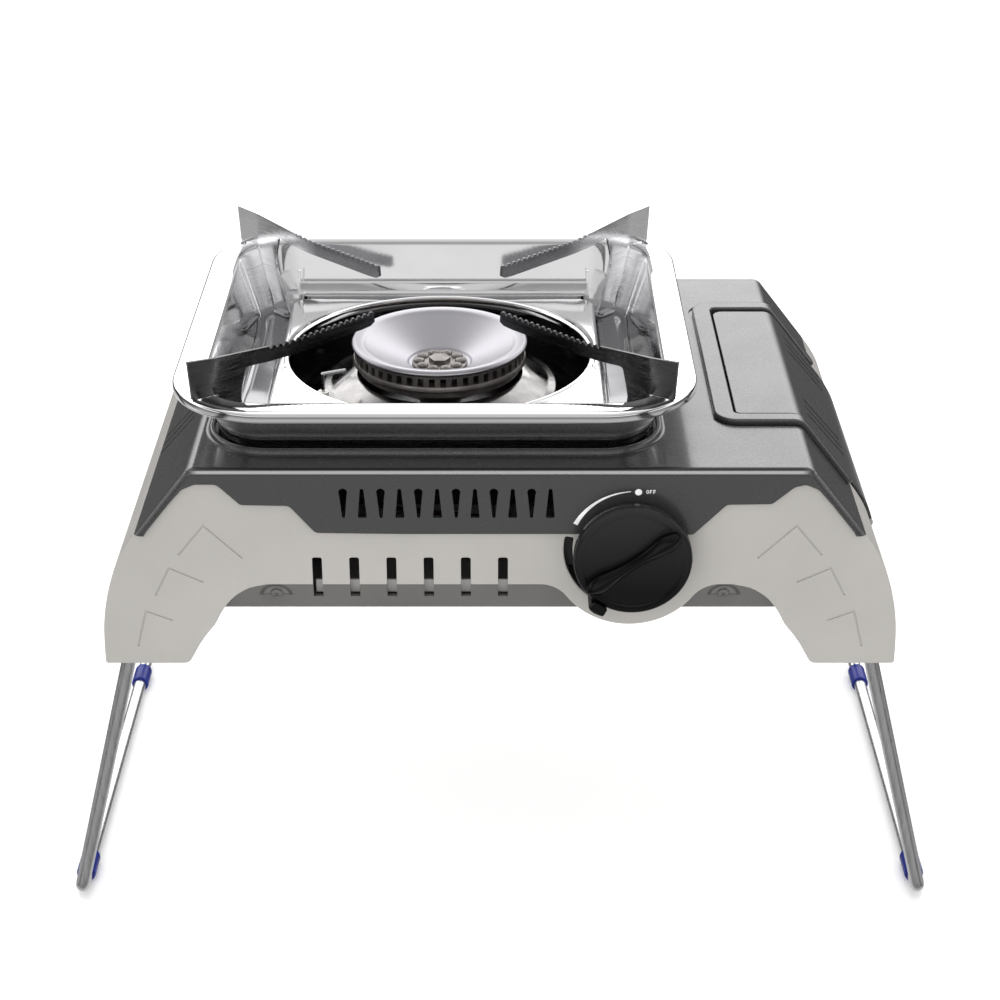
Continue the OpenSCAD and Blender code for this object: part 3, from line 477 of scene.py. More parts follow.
def fillet(pts, r, seg=6):
    """Rounds the corners of a closed polygon; r is one radius or one per corner."""
    out, n = [], len(pts)
    for i in range(n):
        rr = r[i] if isinstance(r, (list, tuple)) else r
        a, b, c = Vector(pts[i - 1]), Vector(pts[i]), Vector(pts[(i + 1) % n])
        u, v = a - b, c - b
        if rr <= 0 or u.length < 1e-6 or v.length < 1e-6:
            out.append(tuple(b))
            continue
        lu, lv = u.length, v.length
        u, v = u / lu, v / lv
        ang = u.angle(v)
        if ang > 3.12:
            out.append(tuple(b))
            continue
        t = min(rr / math.tan(ang / 2), 0.49 * lu, 0.49 * lv)
        r2 = t * math.tan(ang / 2)
        ce = b + (u + v).normalized() * (r2 / math.sin(ang / 2))
        p0, p1 = b + u * t - ce, b + v * t - ce
        a0, a1 = math.atan2(p0.y, p0.x), math.atan2(p1.y, p1.x)
        d = (a1 - a0 + math.pi) % (2 * math.pi) - math.pi
        for k in range(seg + 1):
            aa = a0 + d * k / seg
            out.append((ce.x + r2 * math.cos(aa), ce.y + r2 * math.sin(aa)))
    return out


def smooth(pts, k=4):
    """Catmull-Rom through an open line of points."""
    P = [Vector(p) for p in pts]
    out = []
    for i in range(len(P) - 1):
        p0, p1, p2, p3 = P[max(i - 1, 0)], P[i], P[i + 1], P[min(i + 2, len(P) - 1)]
        for j in range(k):
            t = j / k
            out.append(tuple(0.5 * ((2 * p1) + (p2 - p0) * t + (2 * p0 - 5 * p1 + 4 * p2 - p3) * t * t + (3 * p1 - p0 - 3 * p2 + p3) * t ** 3)))
    out.append(tuple(P[-1]))
    return out


def area2(p):
    return sum(p[i - 1][0] * p[i][1] - p[i][0] * p[i - 1][1] for i in range(len(p)))


def plate(name, loops, t0, t1, b=0.4, seg=2):
    """A flat sheet with rounded edges: first loop outside, the rest holes; thickness along the third axis."""
    cu = bpy.data.curves.new(name, "CURVE")
    cu.dimensions = "2D"
    cu.fill_mode = "BOTH"
    cu.extrude = (t1 - t0) / 2 - b
    cu.bevel_depth = b
    cu.bevel_resolution = seg
    cu.offset = -b
    for i, lp in enumerate(loops):
        lp = list(lp)
        if (area2(lp) < 0) == (i == 0):
            lp = lp[::-1]
        sp = cu.splines.new("POLY")
        sp.points.add(len(lp) - 1)
        for k, (x, y) in enumerate(lp):
            sp.points[k].co = (x, y, 0, 1)
        sp.use_cyclic_u = True
    o = bpy.data.objects.new(name, cu)
    scene.collection.objects.link(o)
    bpy.context.view_layer.update()
    dg = bpy.context.evaluated_depsgraph_get()
    me = bpy.data.meshes.new_from_object(o.evaluated_get(dg), depsgraph=dg)
    bpy.data.objects.remove(o)
    bpy.data.curves.remove(cu)
    me.transform(Matrix.Translation((0, 0, (t0 + t1) / 2)))
    o = bpy.data.objects.new(name, me)
    scene.collection.objects.link(o)
    clean(o)
    return o


def remap(o, fn):
    for v in o.data.vertices:
        v.co = fn(v.co)
    clean(o)
    return o


def upright(o):
    """Plate drawn in (x, z) with its thickness along y."""
    return remap(o, lambda c: Vector((c.x, c.z, c.y)))


def prism(name, pts, t0, t1):
    n = len(pts)
    v = [(x, y, t0) for x, y in pts] + [(x, y, t1) for x, y in pts]
    f = [tuple(range(n)), tuple(range(n, 2 * n))] + [(k, (k + 1) % n, n + (k + 1) % n, n + k) for k in range(n)]
    return mk(name, v, f)


def prism_y(name, pts, y0, y1):
    return upright(prism(name, pts, y0, y1))


def capsule(p, q, w, seg=6):
    p, q = Vector(p), Vector(q)
    a = math.degrees(math.atan2(q.y - p.y, q.x - p.x))
    out = [(q.x + w / 2 * cos(a - 90 + 180 * k / seg), q.y + w / 2 * sin(a - 90 + 180 * k / seg)) for k in range(seg + 1)]
    out += [(p.x + w / 2 * cos(a + 90 + 180 * k / seg), p.y + w / 2 * sin(a + 90 + 180 * k / seg)) for k in range(seg + 1)]
    return out


def stroke(pts, w):
    """Outline of a line of even width with mitred corners."""
    P = [Vector(p) for p in pts]
    L, R = [], []
    for i, p in enumerate(P):
        a = (p - P[i - 1]).normalized() if i else (P[1] - p).normalized()
        b = (P[i + 1] - p).normalized() if i < len(P) - 1 else a
        n = Vector((-(a + b).y, (a + b).x)).normalized()
        k = w / 2 / max(0.3, n.dot(Vector((-a.y, a.x))))
        L.append(tuple(p + n * k))
        R.append(tuple(p - n * k))
    return L + R[::-1]


def box(name, x0, x1, y0, y1, z0, z1):
    return prism(name, [(x0, y0), (x1, y0), (x1, y1), (x0, y1)], z0, z1)


def bisect(o, co, no):
    bm = bmesh.new()
    bm.from_mesh(o.data)
    bmesh.ops.bisect_plane(bm, geom=bm.verts[:] + bm.edges[:] + bm.faces[:], dist=1e-4, plane_co=co, plane_no=no)
    bm.to_mesh(o.data)
    bm.free()


def put(o, mat, body, reps=(), angle=38.0, weighted=True, name=None):
    me = o.data
    me.transform(Matrix.Translation((0, YO / 1000, TOP / 1000)) @ Matrix.Diagonal((0.001, 0.001, 0.001, 1)))
    bm = bmesh.new()
    bm.from_mesh(me)
    bmesh.ops.remove_doubles(bm, verts=bm.verts, dist=1e-6)
    bmesh.ops.dissolve_degenerate(bm, edges=bm.edges, dist=1e-6)
    loose = [v for v in bm.verts if not v.link_faces]
    bmesh.ops.delete(bm, geom=loose, context="VERTS")
    bmesh.ops.recalc_face_normals(bm, faces=bm.faces)
    lim = math.radians(angle)
    for f in bm.faces:
        f.smooth = True
        f.material_index = 0
    for e in bm.edges:
        e.smooth = len(e.link_faces) == 2 and e.calc_face_angle(0) < lim
    bm.to_mesh(me)
    bm.free()
    me.materials.clear()
    me.materials.append(MAT[mat])
    if name:
        o.name = name
    if weighted:
        w = o.modifiers.new("normals", "WEIGHTED_NORMAL")
        w.keep_sharp = True
        w.weight = 80
    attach(o, body)
    if reps:
        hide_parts(*reps)
    return o


# ------------------------------------------------------------------ the shell's skin
SH_R = 7.0
A_SL = math.degrees(math.atan2(36, 28))
T_SL = SH_R * math.tan(math.radians(A_SL / 2))
XS = 155 - T_SL
AL = SH_R * math.radians(A_SL)
UX, UZ = cos(A_SL), -sin(A_SL)
NX, NZ = sin(A_SL), cos(A_SL)
S_SL = XS + AL
S_END = S_SL + math.hypot(28.79, 37) - T_SL
# below that: distance, x, z and the surface's lean from level
BEND = [(0.0, 183.79, -37.0, 53.0), (5.0, 186.75, -41.03, 55.5), (9.99, 189.5, -45.2, 58.0), (14.2, 191.65, -48.81, 61.5), (18.36, 193.6, -52.5, 65.0), (22.6, 195.2, -56.45, 68.0), (26.9, 196.6, -60.5, 70.5), (35.8, 199.2, -69.0, 74.0)]


def skin(s, h):
    """(x, z) at distance s along the shell's cross-section from the middle, h above its surface."""
    a, sg = abs(s), (1 if s >= 0 else -1)
    if a <= XS:
        x, z = a, h
    elif a <= S_SL:
        t = A_SL * (a - XS) / AL
        x, z = XS + (SH_R + h) * sin(t), -SH_R + (SH_R + h) * cos(t)
    else:
        d = a - S_SL
        bx, bz = XS + SH_R * sin(A_SL), -SH_R + SH_R * cos(A_SL)
        if a <= S_END:
            x, z = bx + UX * d + NX * h, bz + UZ * d + NZ * h
        else:
            e, i = a - S_END, 0
            while i < len(BEND) - 2 and e > BEND[i + 1][0]:
                i += 1
            (e0, x0, z0, a0), (e1, x1, z1, a1) = BEND[i], BEND[i + 1]
            t = (e - e0) / (e1 - e0)
            ang = a0 + (a1 - a0) * min(t, 1.0)
            x, z = x0 + (x1 - x0) * t + sin(ang) * h, z0 + (z1 - z0) * t + cos(ang) * h
    return sg * x, z


def wrap(o):
    """Bends a flat (s, y, h) mesh over the shell's shoulder."""
    for sg in (1, -1):
        for k in range(8):
            bisect(o, (sg * (XS + AL * k / 7), 0, 0), (1, 0, 0))
        for e in (0.0, 2.5, 5.0, 7.5, 9.99, 12.1, 14.2, 16.3, 18.36, 20.5, 22.6, 24.7, 26.9):
            bisect(o, (sg * (S_END + e), 0, 0), (1, 0, 0))

    def f(c):
        x, z = skin(c.x, c.z)
        return Vector((x, c.y, z))

    return remap(o, f)


def section(inset, y, zb, nseg=10):
    """Cross-section of the shell's body at y, set in from its outside."""
    r = SH_R - inset
    right = [(XS + r * sin(A_SL * k / nseg), -SH_R + r * cos(A_SL * k / nseg)) for k in range(nseg + 1)]
    xb = 155 + (-inset - NZ * zb) / NX
    right.append((xb, zb))
    left = [(-x, z) for x, z in right[::-1]]
    return [(x, y, z) for x, z in left + right]


EAR_L = [(-179.6, -60), (-178.7, -37.4), (-177.2, -34.6), (-165.1, -19.2), (-158.0, -11.0), (-151.5, -8.1), (-140.5, -8.1), (-129.2, -19.4), (-105, -19.9),
         (-92.4, -35), (-50, -35.6)]
EAR_R = [(70, -35.6), (96.7, -36), (112.9, -19.2), (135.3, -18.9), (146, -9.6), (151.5, -8.2), (158.0, -11.0), (165.1, -19.2), (177.2, -34.6), (178.7, -37.4),
         (179.6, -60)]


def front_cut(y0, y1, mirror=False):
    left, right = EAR_L, EAR_R
    if mirror:
        right = [(-x, z) for x, z in EAR_L[::-1]]
    pts = left + right
    n = len(left)
    rl = [0, 2.5, 3, 6, 5, 4, 5, 3, 4, 4, 0]
    rr = rl[::-1] if mirror else [0, 3, 4, 4, 4, 4, 5, 6, 3, 2.5, 0]
    return prism_y("cut", fillet(pts, rl + rr), y0, y1)


def top_shell():
    SD, ST = 133.2, 1.5
    outer, inner = [], []
    for k in range(7):
        a = 90 * k / 6
        outer.append(section(3.5 * (1 - sin(a)), -SD + 3.5 * (1 - cos(a)), -37.0))
        inner.append(section(ST + 2.0 * (1 - sin(a)), -SD + ST + 2.0 * (1 - cos(a)), -60.0))
    outer += [[(x, -y, z) for x, y, z in r] for r in outer[::-1]]
    inner += [[(x, -y, z) for x, y, z in r] for r in inner[::-1]]
    o = loft("top_shell_body", outer)
    boolean(o, loft("in", inner))
    boolean(o, prism("hole", [(x, y) for x, y, z in rring(118, 35, 0)], -10, 10))
    boolean(o, prism("lid_hole", fillet([(121.5, -70), (230, -70), (230, 77), (121.5, 77)], [3, 0, 0, 3]), -60, 10))
    boolean(o, front_cut(-SD - 3, -SD + ST + 0.3))
    boolean(o, front_cut(SD - ST - 0.3, SD + 3, True))
    # tapered vents, wide end up and down by turns
    cuts = []
    for i in range(12):
        x = -78.0 + 9.37 * i
        if i % 2 == 0:
            arc = [(x + 2.2 * cos(a), -12.4 + 2.2 * sin(a)) for a in range(-30, 211, 20)]
            pts = arc + [(x - 0.75, -26.1), (x - 0.45, -26.5), (x + 0.45, -26.5), (x + 0.75, -26.1)]
        else:
            pts = [(x - 0.9, -10.9), (x - 0.4, -10.4), (x + 0.4, -10.4), (x + 0.9, -10.9), (x + 2.25, -26.0), (x + 1.9, -26.5), (x - 1.9, -26.5), (x - 2.25, -26.0)]
        cuts.append(prism_y("v", pts, -SD - 2, -SD + 4))
    boolean(o, join("vents", cuts))
    # pressed ribs on the left shoulder
    ribs = []
    for y0 in (52, 42, 32, -30, -40, -50):
        p, q = (-166.0, y0), (-201.0, y0 + 12)
        g = prism("rib", capsule(p, q, 1.8), -0.55, 3)
        ribs.append(remap(g, lambda c: Vector((skin(c.x, c.z)[0], c.y, skin(c.x, c.z)[1]))))
    boolean(o, join("ribs", ribs))
    # rounded lip round the burner opening, from the plate's edge inwards
    lip = [(118.02, -1.5), (118.02, 0), (117.2, 0.05), (116.5, 0.5), (116.1, 1.5), (115.9, 2.3), (115.3, 2.85), (114.5, 3.0), (113.7, 2.8), (113.15, 2.2), (113.0, 1.4),
           (113.0, -1.5)]
    rings = [rring(h, h - 83, z) for h, z in lip]
    lp = loft("lip", rings, close=True)
    # raised frame round the lid, with a groove along its outer edge
    fr = fillet([(111.2, -79.2), (200, -79.2), (200, -70.6), (121.6, -70.6), (121.6, 77), (200, 77), (200, 86.5), (111.2, 86.5)], [12, 4.2, 4.2, 3, 3, 4.2, 4.2, 12], 8)
    f = plate("frame", [fr], -0.9, 2.6, 1.1, 3)
    wrap(f)
    groove = fillet([(109.0, -81.4), (198, -81.4), (198, -60), (240, -60), (240, 60), (198, 60), (198, 88.7), (109.0, 88.7)], [14, 1, 0, 0, 0, 0, 1, 14], 8)
    inner_g = fillet([(112.2, -78.2), (197, -78.2), (197, -60), (239, -60), (239, 60), (197, 60), (197, 85.5), (112.2, 85.5)], [11, 1, 0, 0, 0, 0, 1, 11], 8)
    g = prism("g", groove, -0.8, 3)
    boolean(g, prism("gi", inner_g, -5, 8))
    boolean(g, box("gc", 198.5, 260, -200, 200, -5, 8))
    wrap(g)
    boolean(o, g)
    put(join("top_shell_skin", [o, lp, f]), "shell_metal", "case", ["top_shell"], angle=34)


def canister_lid():
    out = fillet([(122.6, -69), (229.2, -69), (229.2, 74), (122.6, 74)], [3, 2.5, 2.5, 6], 8)
    l = plate("lid", [out], -0.1, 1.6, 0.7, 3)
    cuts = []
    for y0 in (56, 46, 36, -30, -40, -50):
        cuts.append(prism("g", capsule((165.5, y0), (202.0, y0 + 11), 2.1), 0.75, 4))
    boolean(l, join("gg", cuts))
    wrap(l)
    stiff = box("st", 123.0, 124.4, -65, 70, -5, 0.2)
    parts = [l, stiff]
    # knuckle notches and knuckles on the hinge pin
    for y in (-58, 4, 60):
        boolean(l, box("n", 191.1, 207.1, y - 5.4, y + 5.4, -78, -60.8))
    for yc, w in ((-44, 16), (-22, 16), (26, 16), (42, 12)):
        parts.append(lathe("k", [(1.56, -w / 2), (1.56, w / 2), (2.6, w / 2), (2.9, w / 2 - 0.3), (2.9, -w / 2 + 0.3), (2.6, -w / 2)], 32, 197.1, yc, -65.5, "Y"))
        parts.append(box("kt", 196.5, 198.3, yc - w / 2 + 0.3, yc + w / 2 - 0.3, -64.2, -60.6))
    put(join("canister_lid_cover", parts), "shell_metal", "canister_lid", ["canister_lid"], angle=34)


# ------------------------------------------------------------------ pale case
OUT = [(183.0, -36.0), (189.5, -45.2), (193.6, -52.5), (196.6, -60.5), (199.2, -69), (201.3, -78), (202.6, -86), (203.3, -92.9), (203.7, -102), (203.8, -109)]


def side_curve():
    return smooth([(183.9, -37.3)] + OUT[1:], 4)


def case_outline():
    arch = smooth([(154.4, -100.6), (150.6, -94.9), (145.9, -88.8), (142.9, -83.0), (139.7, -77.9), (134.8, -72.4), (127, -67.6), (118, -65.7)], 3)
    half = [(154.1, -1.8), (181.7, -37.3)] + side_curve() + fillet([(203.8, -109), (203.8, -112), (160.6, -112), (154.4, -100.6)], [0, 2.6, 4.5, 0])[1:-1] + arch
    return half


def knob_boss(cx=66.0, cz=-48.7, r=40.0, rf=16.0, crease=-65.7):
    """The lower edge between the skirts: crease, hollow fillet, round boss, hollow fillet, crease."""
    dz = cz - (crease - rf)
    dx = math.sqrt((r + rf) ** 2 - dz ** 2)
    out = []
    for sg in (1, -1):
        fx, fz = cx + sg * dx, crease - rf
        a0 = 90.0
        a1 = math.degrees(math.atan2(cz - fz, cx - fx))
        arc = [(fx + rf * cos(a0 + (a1 - a0) * k / 8), fz + rf * sin(a0 + (a1 - a0) * k / 8)) for k in range(9)]
        out.append(arc)
    right, left = out
    b0 = math.degrees(math.atan2(right[-1][1] - cz, right[-1][0] - cx))
    b1 = math.degrees(math.atan2(left[-1][1] - cz, left[-1][0] - cx))
    ring = [(cx + r * cos(b0 + (b1 - b0) * k / 28), cz + r * sin(b0 + (b1 - b0) * k / 28)) for k in range(1, 28)]
    return right + ring + left[::-1]


def slot_poly(x):
    return fillet([(x - 2.5, -73.6), (x - 2.5, -49.8), (x + 2.5, -49.8), (x + 2.5, -73.6)], [0, 1.1, 1.1, 0], 4)


def arc_slot():
    kx, kz = 66.3, -45
    out = [(kx + 34.2 * cos(a), kz + 34.2 * sin(a)) for a in [168.0 + 73.9 * k / 20 for k in range(21)]]
    out += [(kx + 29.8 * cos(a), kz + 29.8 * sin(a)) for a in [241.9 - 73.9 * k / 20 for k in range(21)]]
    return fillet(out, [1.4 if i in (0, 20, 21, 41) else 0 for i in range(42)], 4)


def chamfer(sign, name):
    """Belly face that bends inwards below the crease."""
    sec = [(-131.47, -64.8), (-131.42, -65.5), (-131.2, -66.4), (-130.9, -67.4), (-126.6, -80.0), (-126.0, -81.3), (-125.2, -81.9), (-124.5, -82.0), (-124.0, -81.7), (-123.95, -81.0), (-129.6, -64.5)]
    rings = [[(x, -sign * y, z) for y, z in sec] for x in (-141, -100, -60, 0, 60, 100, 141)]
    o = loft(name, rings)
    parts = []
    # screw dimples
    n = Vector((0, sign * 0.947, -0.321))
    for x in (-114, 114):
        c = Vector((x, sign * 128.95, -73.2))
        back = lathe("bk", [(0, -3.6), (8.2, -3.6), (8.2, -0.6), (0, -0.6)], 32)
        q = n.to_track_quat("Z", "Y").to_matrix().to_4x4()
        back.data.transform(Matrix.Translation(c) @ q)
        boolean(o, back, "UNION")
        cone = lathe("cn", [(0, -2.3), (3.6, -2.3), (7.9, 0.1), (7.9, 3), (0, 3)], 40)
        cone.data.transform(Matrix.Translation(c) @ q)
        boolean(o, cone)
        s = screw_mesh(2.6, 1.2, 2.4)
        s.data.transform(Matrix.Translation(c - n * 2.3) @ q)
        parts.append(s)
    return o, parts


def screw_mesh(hr, hh, l):
    s = lathe("s", [(0, -l), (1.4, -l), (1.4, 0), (hr, 0), (hr, hh * 0.55), (hr * 0.8, hh * 0.88), (hr * 0.45, hh), (0, hh)], 28)
    cr = [box("a", -hr * 0.55, hr * 0.55, -0.28, 0.28, hh - 0.7, hh + 1), box("b", -0.28, 0.28, -hr * 0.55, hr * 0.55, hh - 0.7, hh + 1)]
    return boolean(s, cr)


def front_panel():
    right = case_outline()
    boss = knob_boss()
    left = [(-x, z) for x, z in right[::-1]]
    outline = right + boss + left
    win = fillet([(-84, -29.5), (30, -29.5), (30, -8.5), (-84, -8.5)], 2)
    stem = [(66.3 + 8.5 * cos(a), -45 + 8.5 * sin(a)) for a in range(0, 360, 12)]
    p = upright(plate("fp", [outline, win, stem, arc_slot()], -131.5, -129.5, 0.75, 3))
    cuts = [prism_y("s", slot_poly(-92.4 + 18.78 * i), -136, -120) for i in range(6)]
    boolean(p, join("sl", cuts))
    # pressed chevron lines on the skirts
    chev = [[(-162.2, -48.4), (-148.6, -31.6), (-130.0, -50.1)], [(-175.2, -71.5), (-167.3, -55.8), (-150.5, -63.9)], [(-186.2, -101.5), (-180.8, -80.8), (-167.6, -86.1)]]
    chev += [[(-x, z) for x, z in c] for c in chev]
    boolean(p, join("cv", [prism_y("c", stroke(c, 1.0), -133, -131.1) for c in chev]))
    ch, screws = chamfer(-1, "fch")
    cuts = [prism_y("s", slot_poly(-92.4 + 18.78 * i), -136, -120) for i in range(6)]
    boolean(ch, join("sl", cuts))
    # room for the knob's boss, and the boss's rim behind the panel
    boolean(ch, prism_y("bc", [(66.0 + 38.9 * cos(a), -48.7 + 38.9 * sin(a)) for a in range(0, 360, 6)], -140, -118))
    rim = lathe("rim", [(38.4, -130.4), (39.8, -130.4), (39.8, -126.2), (39.4, -125.6), (38.8, -125.6), (38.4, -126.0)], 120, 66.0, 0, -48.7, "Y")
    boolean(rim, box("rc", -20, 160, -140, -100, -66.5, 20))
    put(join("front_panel_pressing", [p, rim]), "case_cream", "case", ["front_panel"], angle=32)
    put(ch, "case_painted_shade", "case", (), angle=32, name="front_belly_face")
    return screws


def rear_panel():
    right = case_outline()
    outline = right + [(-x, z) for x, z in right[::-1]]
    p = upright(plate("rp", [outline], 129.5, 131.5, 0.75, 3))
    cuts = []
    for i in range(10):
        x = -85 + 18.78 * i
        cuts.append(prism_y("s", [(x + 2.2 * cos(a), -44 + 2.2 * sin(a)) for a in range(0, 181, 20)] + [(x - 2.2 * cos(a), -60 - 2.2 * sin(a)) for a in range(0, 181, 20)], 120, 140))
    boolean(p, join("sl", cuts))
    chev = [[(-162.2, -48.4), (-148.6, -31.6), (-130.0, -50.1)], [(-175.2, -71.5), (-167.3, -55.8), (-150.5, -63.9)], [(-186.2, -101.5), (-180.8, -80.8), (-167.6, -86.1)]]
    chev += [[(-x, z) for x, z in c] for c in chev]
    boolean(p, join("cv", [prism_y("c", stroke(c, 1.0), 131.1, 133) for c in chev]))
    ch, screws = chamfer(1, "rch")
    put(join("rear_panel_pressing", [p]), "case_cream", "case", ["rear_panel"], angle=32)
    put(ch, "case_painted_shade", "case", (), angle=32, name="rear_belly_face")
    return screws


def side_panel(sg, name, node):
    line = side_curve() + [(203.8, -112)]
    t = 2.0
    P = [Vector(p) for p in line]
    inner = []
    for i, p in enumerate(P):
        a = P[min(i + 1, len(P) - 1)] - P[max(i - 1, 0)]
        nn = Vector((a.y, -a.x)).normalized()
        if nn.x > 0:
            nn = -nn
        inner.append(tuple(p + nn * t))
    head = [(171.3, -24), (181.7, -37.3)]
    tail = [(180.2, -38.6), (168.9, -24)]
    pts = head + [tuple(p) for p in P] + [q for q in inner[::-1] if q[1] < -39.5] + tail
    o = prism_y("w", pts, -129.4, 129.4)
    flange = box("fl", 178, 200.2, -120, 120, -77.2, -75.6)
    boolean(flange, [lathe("h", [(0, -10), (1.5, -10), (1.5, 10), (0, 10)], 24, 184, y, -76) for y in (-60, 0, 60)])
    parts = [o, flange]
    if sg > 0:
        boolean(o, box("lc", 150, 210, -70.5, 77.5, -69, -1))
        for y in (-58, 4, 60):
            parts.append(lathe("k", [(1.5, -5), (1.5, 5), (2.6, 5), (2.9, 4.7), (2.9, -4.7), (2.6, -5)], 32, 197.1, y, -65.5, "Y"))
            parts.append(box("kt", 196.1, 198.3, y - 4.8, y + 4.8, -70.4, -67.2))
    j = join(name, parts)
    if sg < 0:
        remap(j, lambda c: Vector((-c.x, c.y, c.z)))
    put(j, "case_cream", "case", [node], angle=32)


# ------------------------------------------------------------------ tray and supports
def drip_tray():
    prof = [  # half size, corner radius, z
        (131.3, 48.3, 25.7), (131.7, 48.7, 24.95), (132.4, 49.4, 24.7), (132.9, 49.9, 25.1), (133.0, 50.0, 25.9), (133.0, 50.0, 28.2), (132.8, 49.8, 29.1), (132.2, 49.2, 29.65), (131.2, 48.2, 29.85),
        (129.6, 46.4, 29.8), (128.4, 45.2, 29.4), (127.4, 44.1, 29.35), (126.4, 43.0, 29.6), (125.2, 41.6, 29.7), (119.4, 33.6, 29.7), (118.3, 32.4, 29.45), (117.5, 31.6, 28.8), (117.0, 31.0, 27.7),
        (116.5, 30.6, 26.3), (107.6, 24.2, -3.2), (106.7, 23.6, -5.6), (105.2, 22.6, -7.2), (103.2, 21.2, -7.9), (101.2, 19.8, -8.0),
        (92.6, 13.0, -8.0), (90.6, 11.4, -7.7), (89.3, 10.4, -6.6), (88.7, 9.8, -5.0), (87.9, 9.2, 1.6), (87.5, 8.8, 3.0), (86.7, 8.3, 4.1), (85.6, 8.0, 4.5),
        (84.95, 66.0, 4.5), (84.8, 76.0, 5.0), (84.6, 84.6, 6.2), (84.0, 84.0, 7.1), (83.2, 83.2, 7.5), (82.4, 82.4, 7.2), (82.0, 82.0, 6.3), (82.0, 82.0, 3.4),
        (82.9, 82.9, 3.4), (83.4, 83.4, 5.4), (84.2, 70.0, 3.5), (84.9, 8.0, 3.5), (86.4, 8.6, 2.4), (87.7, 9.4, -5.6), (88.6, 10.4, -7.9), (90.6, 12.0, -9.0), (103, 21.6, -9.0), (105.9, 23.2, -8.5),
        (107.6, 24.4, -6.2), (108.6, 25.0, -3.2), (117.4, 31.4, 26.2), (118.0, 32.0, 27.6), (119.4, 33.4, 28.6), (125.2, 41.2, 28.7), (131.3, 48.3, 28.7)]
    o = loft("drip_tray_pressing", [rring(h, r, z, N=18) for h, r, z in prof], close=True)
    put(o, "tray_steel", "tray", ["drip_tray"], angle=50, weighted=False)


def wind_shields():
    parts = []
    for sg in (1, -1):
        face = fillet([(-117.5, -7.9), (51.5, -7.9), (51.5, 12), (-117.5, 12)], 1.2, 3)
        y0, y1 = (92.5, 93.5) if sg > 0 else (-93.5, -92.5)
        parts.append(upright(plate("w", [face], y0, y1, 0.25, 2)))
        # folded top hem
        parts.append(prism("h", fillet([(-117.3, sg * 93.2), (51.3, sg * 93.2), (51.3, sg * 96.2), (-117.3, sg * 96.2)], 1.0, 3), 11.2, 12.0))
        for x in (-117.5, 51.5):
            xi = x if x < 0 else x - 1.0
            g = [(sg * 88.5, -7.9), (sg * 88.5, 6.0), (sg * 92.6, 12.0), (sg * 95.0, 20.0), (sg * 101.5, 11.0), (sg * 101.5, 4.0), (sg * 96.0, -7.9)]
            pl = plate("e", [fillet(g, 1.0, 3), [(sg * 94.6 + 1.6 * cos(a), 5.0 + 1.6 * sin(a)) for a in range(0, 360, 30)]], xi, xi + 1.0, 0.25, 2)
            parts.append(remap(pl, lambda c: Vector((c.z, c.x, c.y))))
    put(join("wind_shield_strips", parts), "tray_steel", "tray", ["wind_shields"], angle=32)


def support_mesh(name):
    top = [(47.2, 38.6), (47.6, 43.6), (48.4, 44.4)]
    # teeth along the working edge
    s = 50.0
    while s < 118:
        z = 44.5 + max(0.0, s - 106) * 0.105
        top += [(s, z), (s + 1.0, z - 1.4), (s + 1.9, z - 1.4), (s + 2.9, z)]
        s += 4.1
    out = top + [(140, 48.0), (168, 51), (167.4, 42), (166.6, 30.6), (166.0, 29.9), (152.6, 29.9), (151.9, 29.0), (150.6, 25), (145, 8), (141.7, -2), (139.8, -6.6), (126.4, -6.6),
                 (128.6, -2), (133.2, 8), (137.2, 19), (138.0, 24), (137.0, 29), (134.6, 37.4), (133.8, 38.5), (132.2, 38.8), (118, 37.3), (106, 36.6), (56, 36.6), (50, 37.0)]
    p = plate(name, [out], -0.85, 0.85, 0.22, 1)
    for x in (106, 118, 130, 144, 150, 152, 154, 156):
        bisect(p, (x, 0, 0), (1, 0, 0))
    flange = plate("fl", [fillet([(126, -4), (139.5, -4), (139.5, 4), (126, 4)], 2, 4)], -7.9, -6.6, 0.25, 2)
    p = remap(p, lambda c: Vector((c.x, c.z, c.y)))

    def bend(c):
        # the outer wing is folded a little out of line
        dy = 0.14 * max(0.0, c.x - 153.0)
        return Vector((c.x, c.y + dy, c.z))

    p = remap(p, bend)
    return join(name, [p, flange])


def supports():
    for a, nm in ((225, "front_left"), (315, "front_right"), (135, "rear_left"), (45, "rear_right")):
        o = support_mesh("support_" + nm)
        if nm in ("front_left", "rear_right"):
            remap(o, lambda c: Vector((c.x, -c.y, c.z)))
        o.data.transform(Matrix.Translation((-33, 0, 0)) @ Matrix.Rotation(math.radians(a), 4, "Z"))
        put(o, "support_steel", "tray", ["pan_support_" + nm], angle=30)


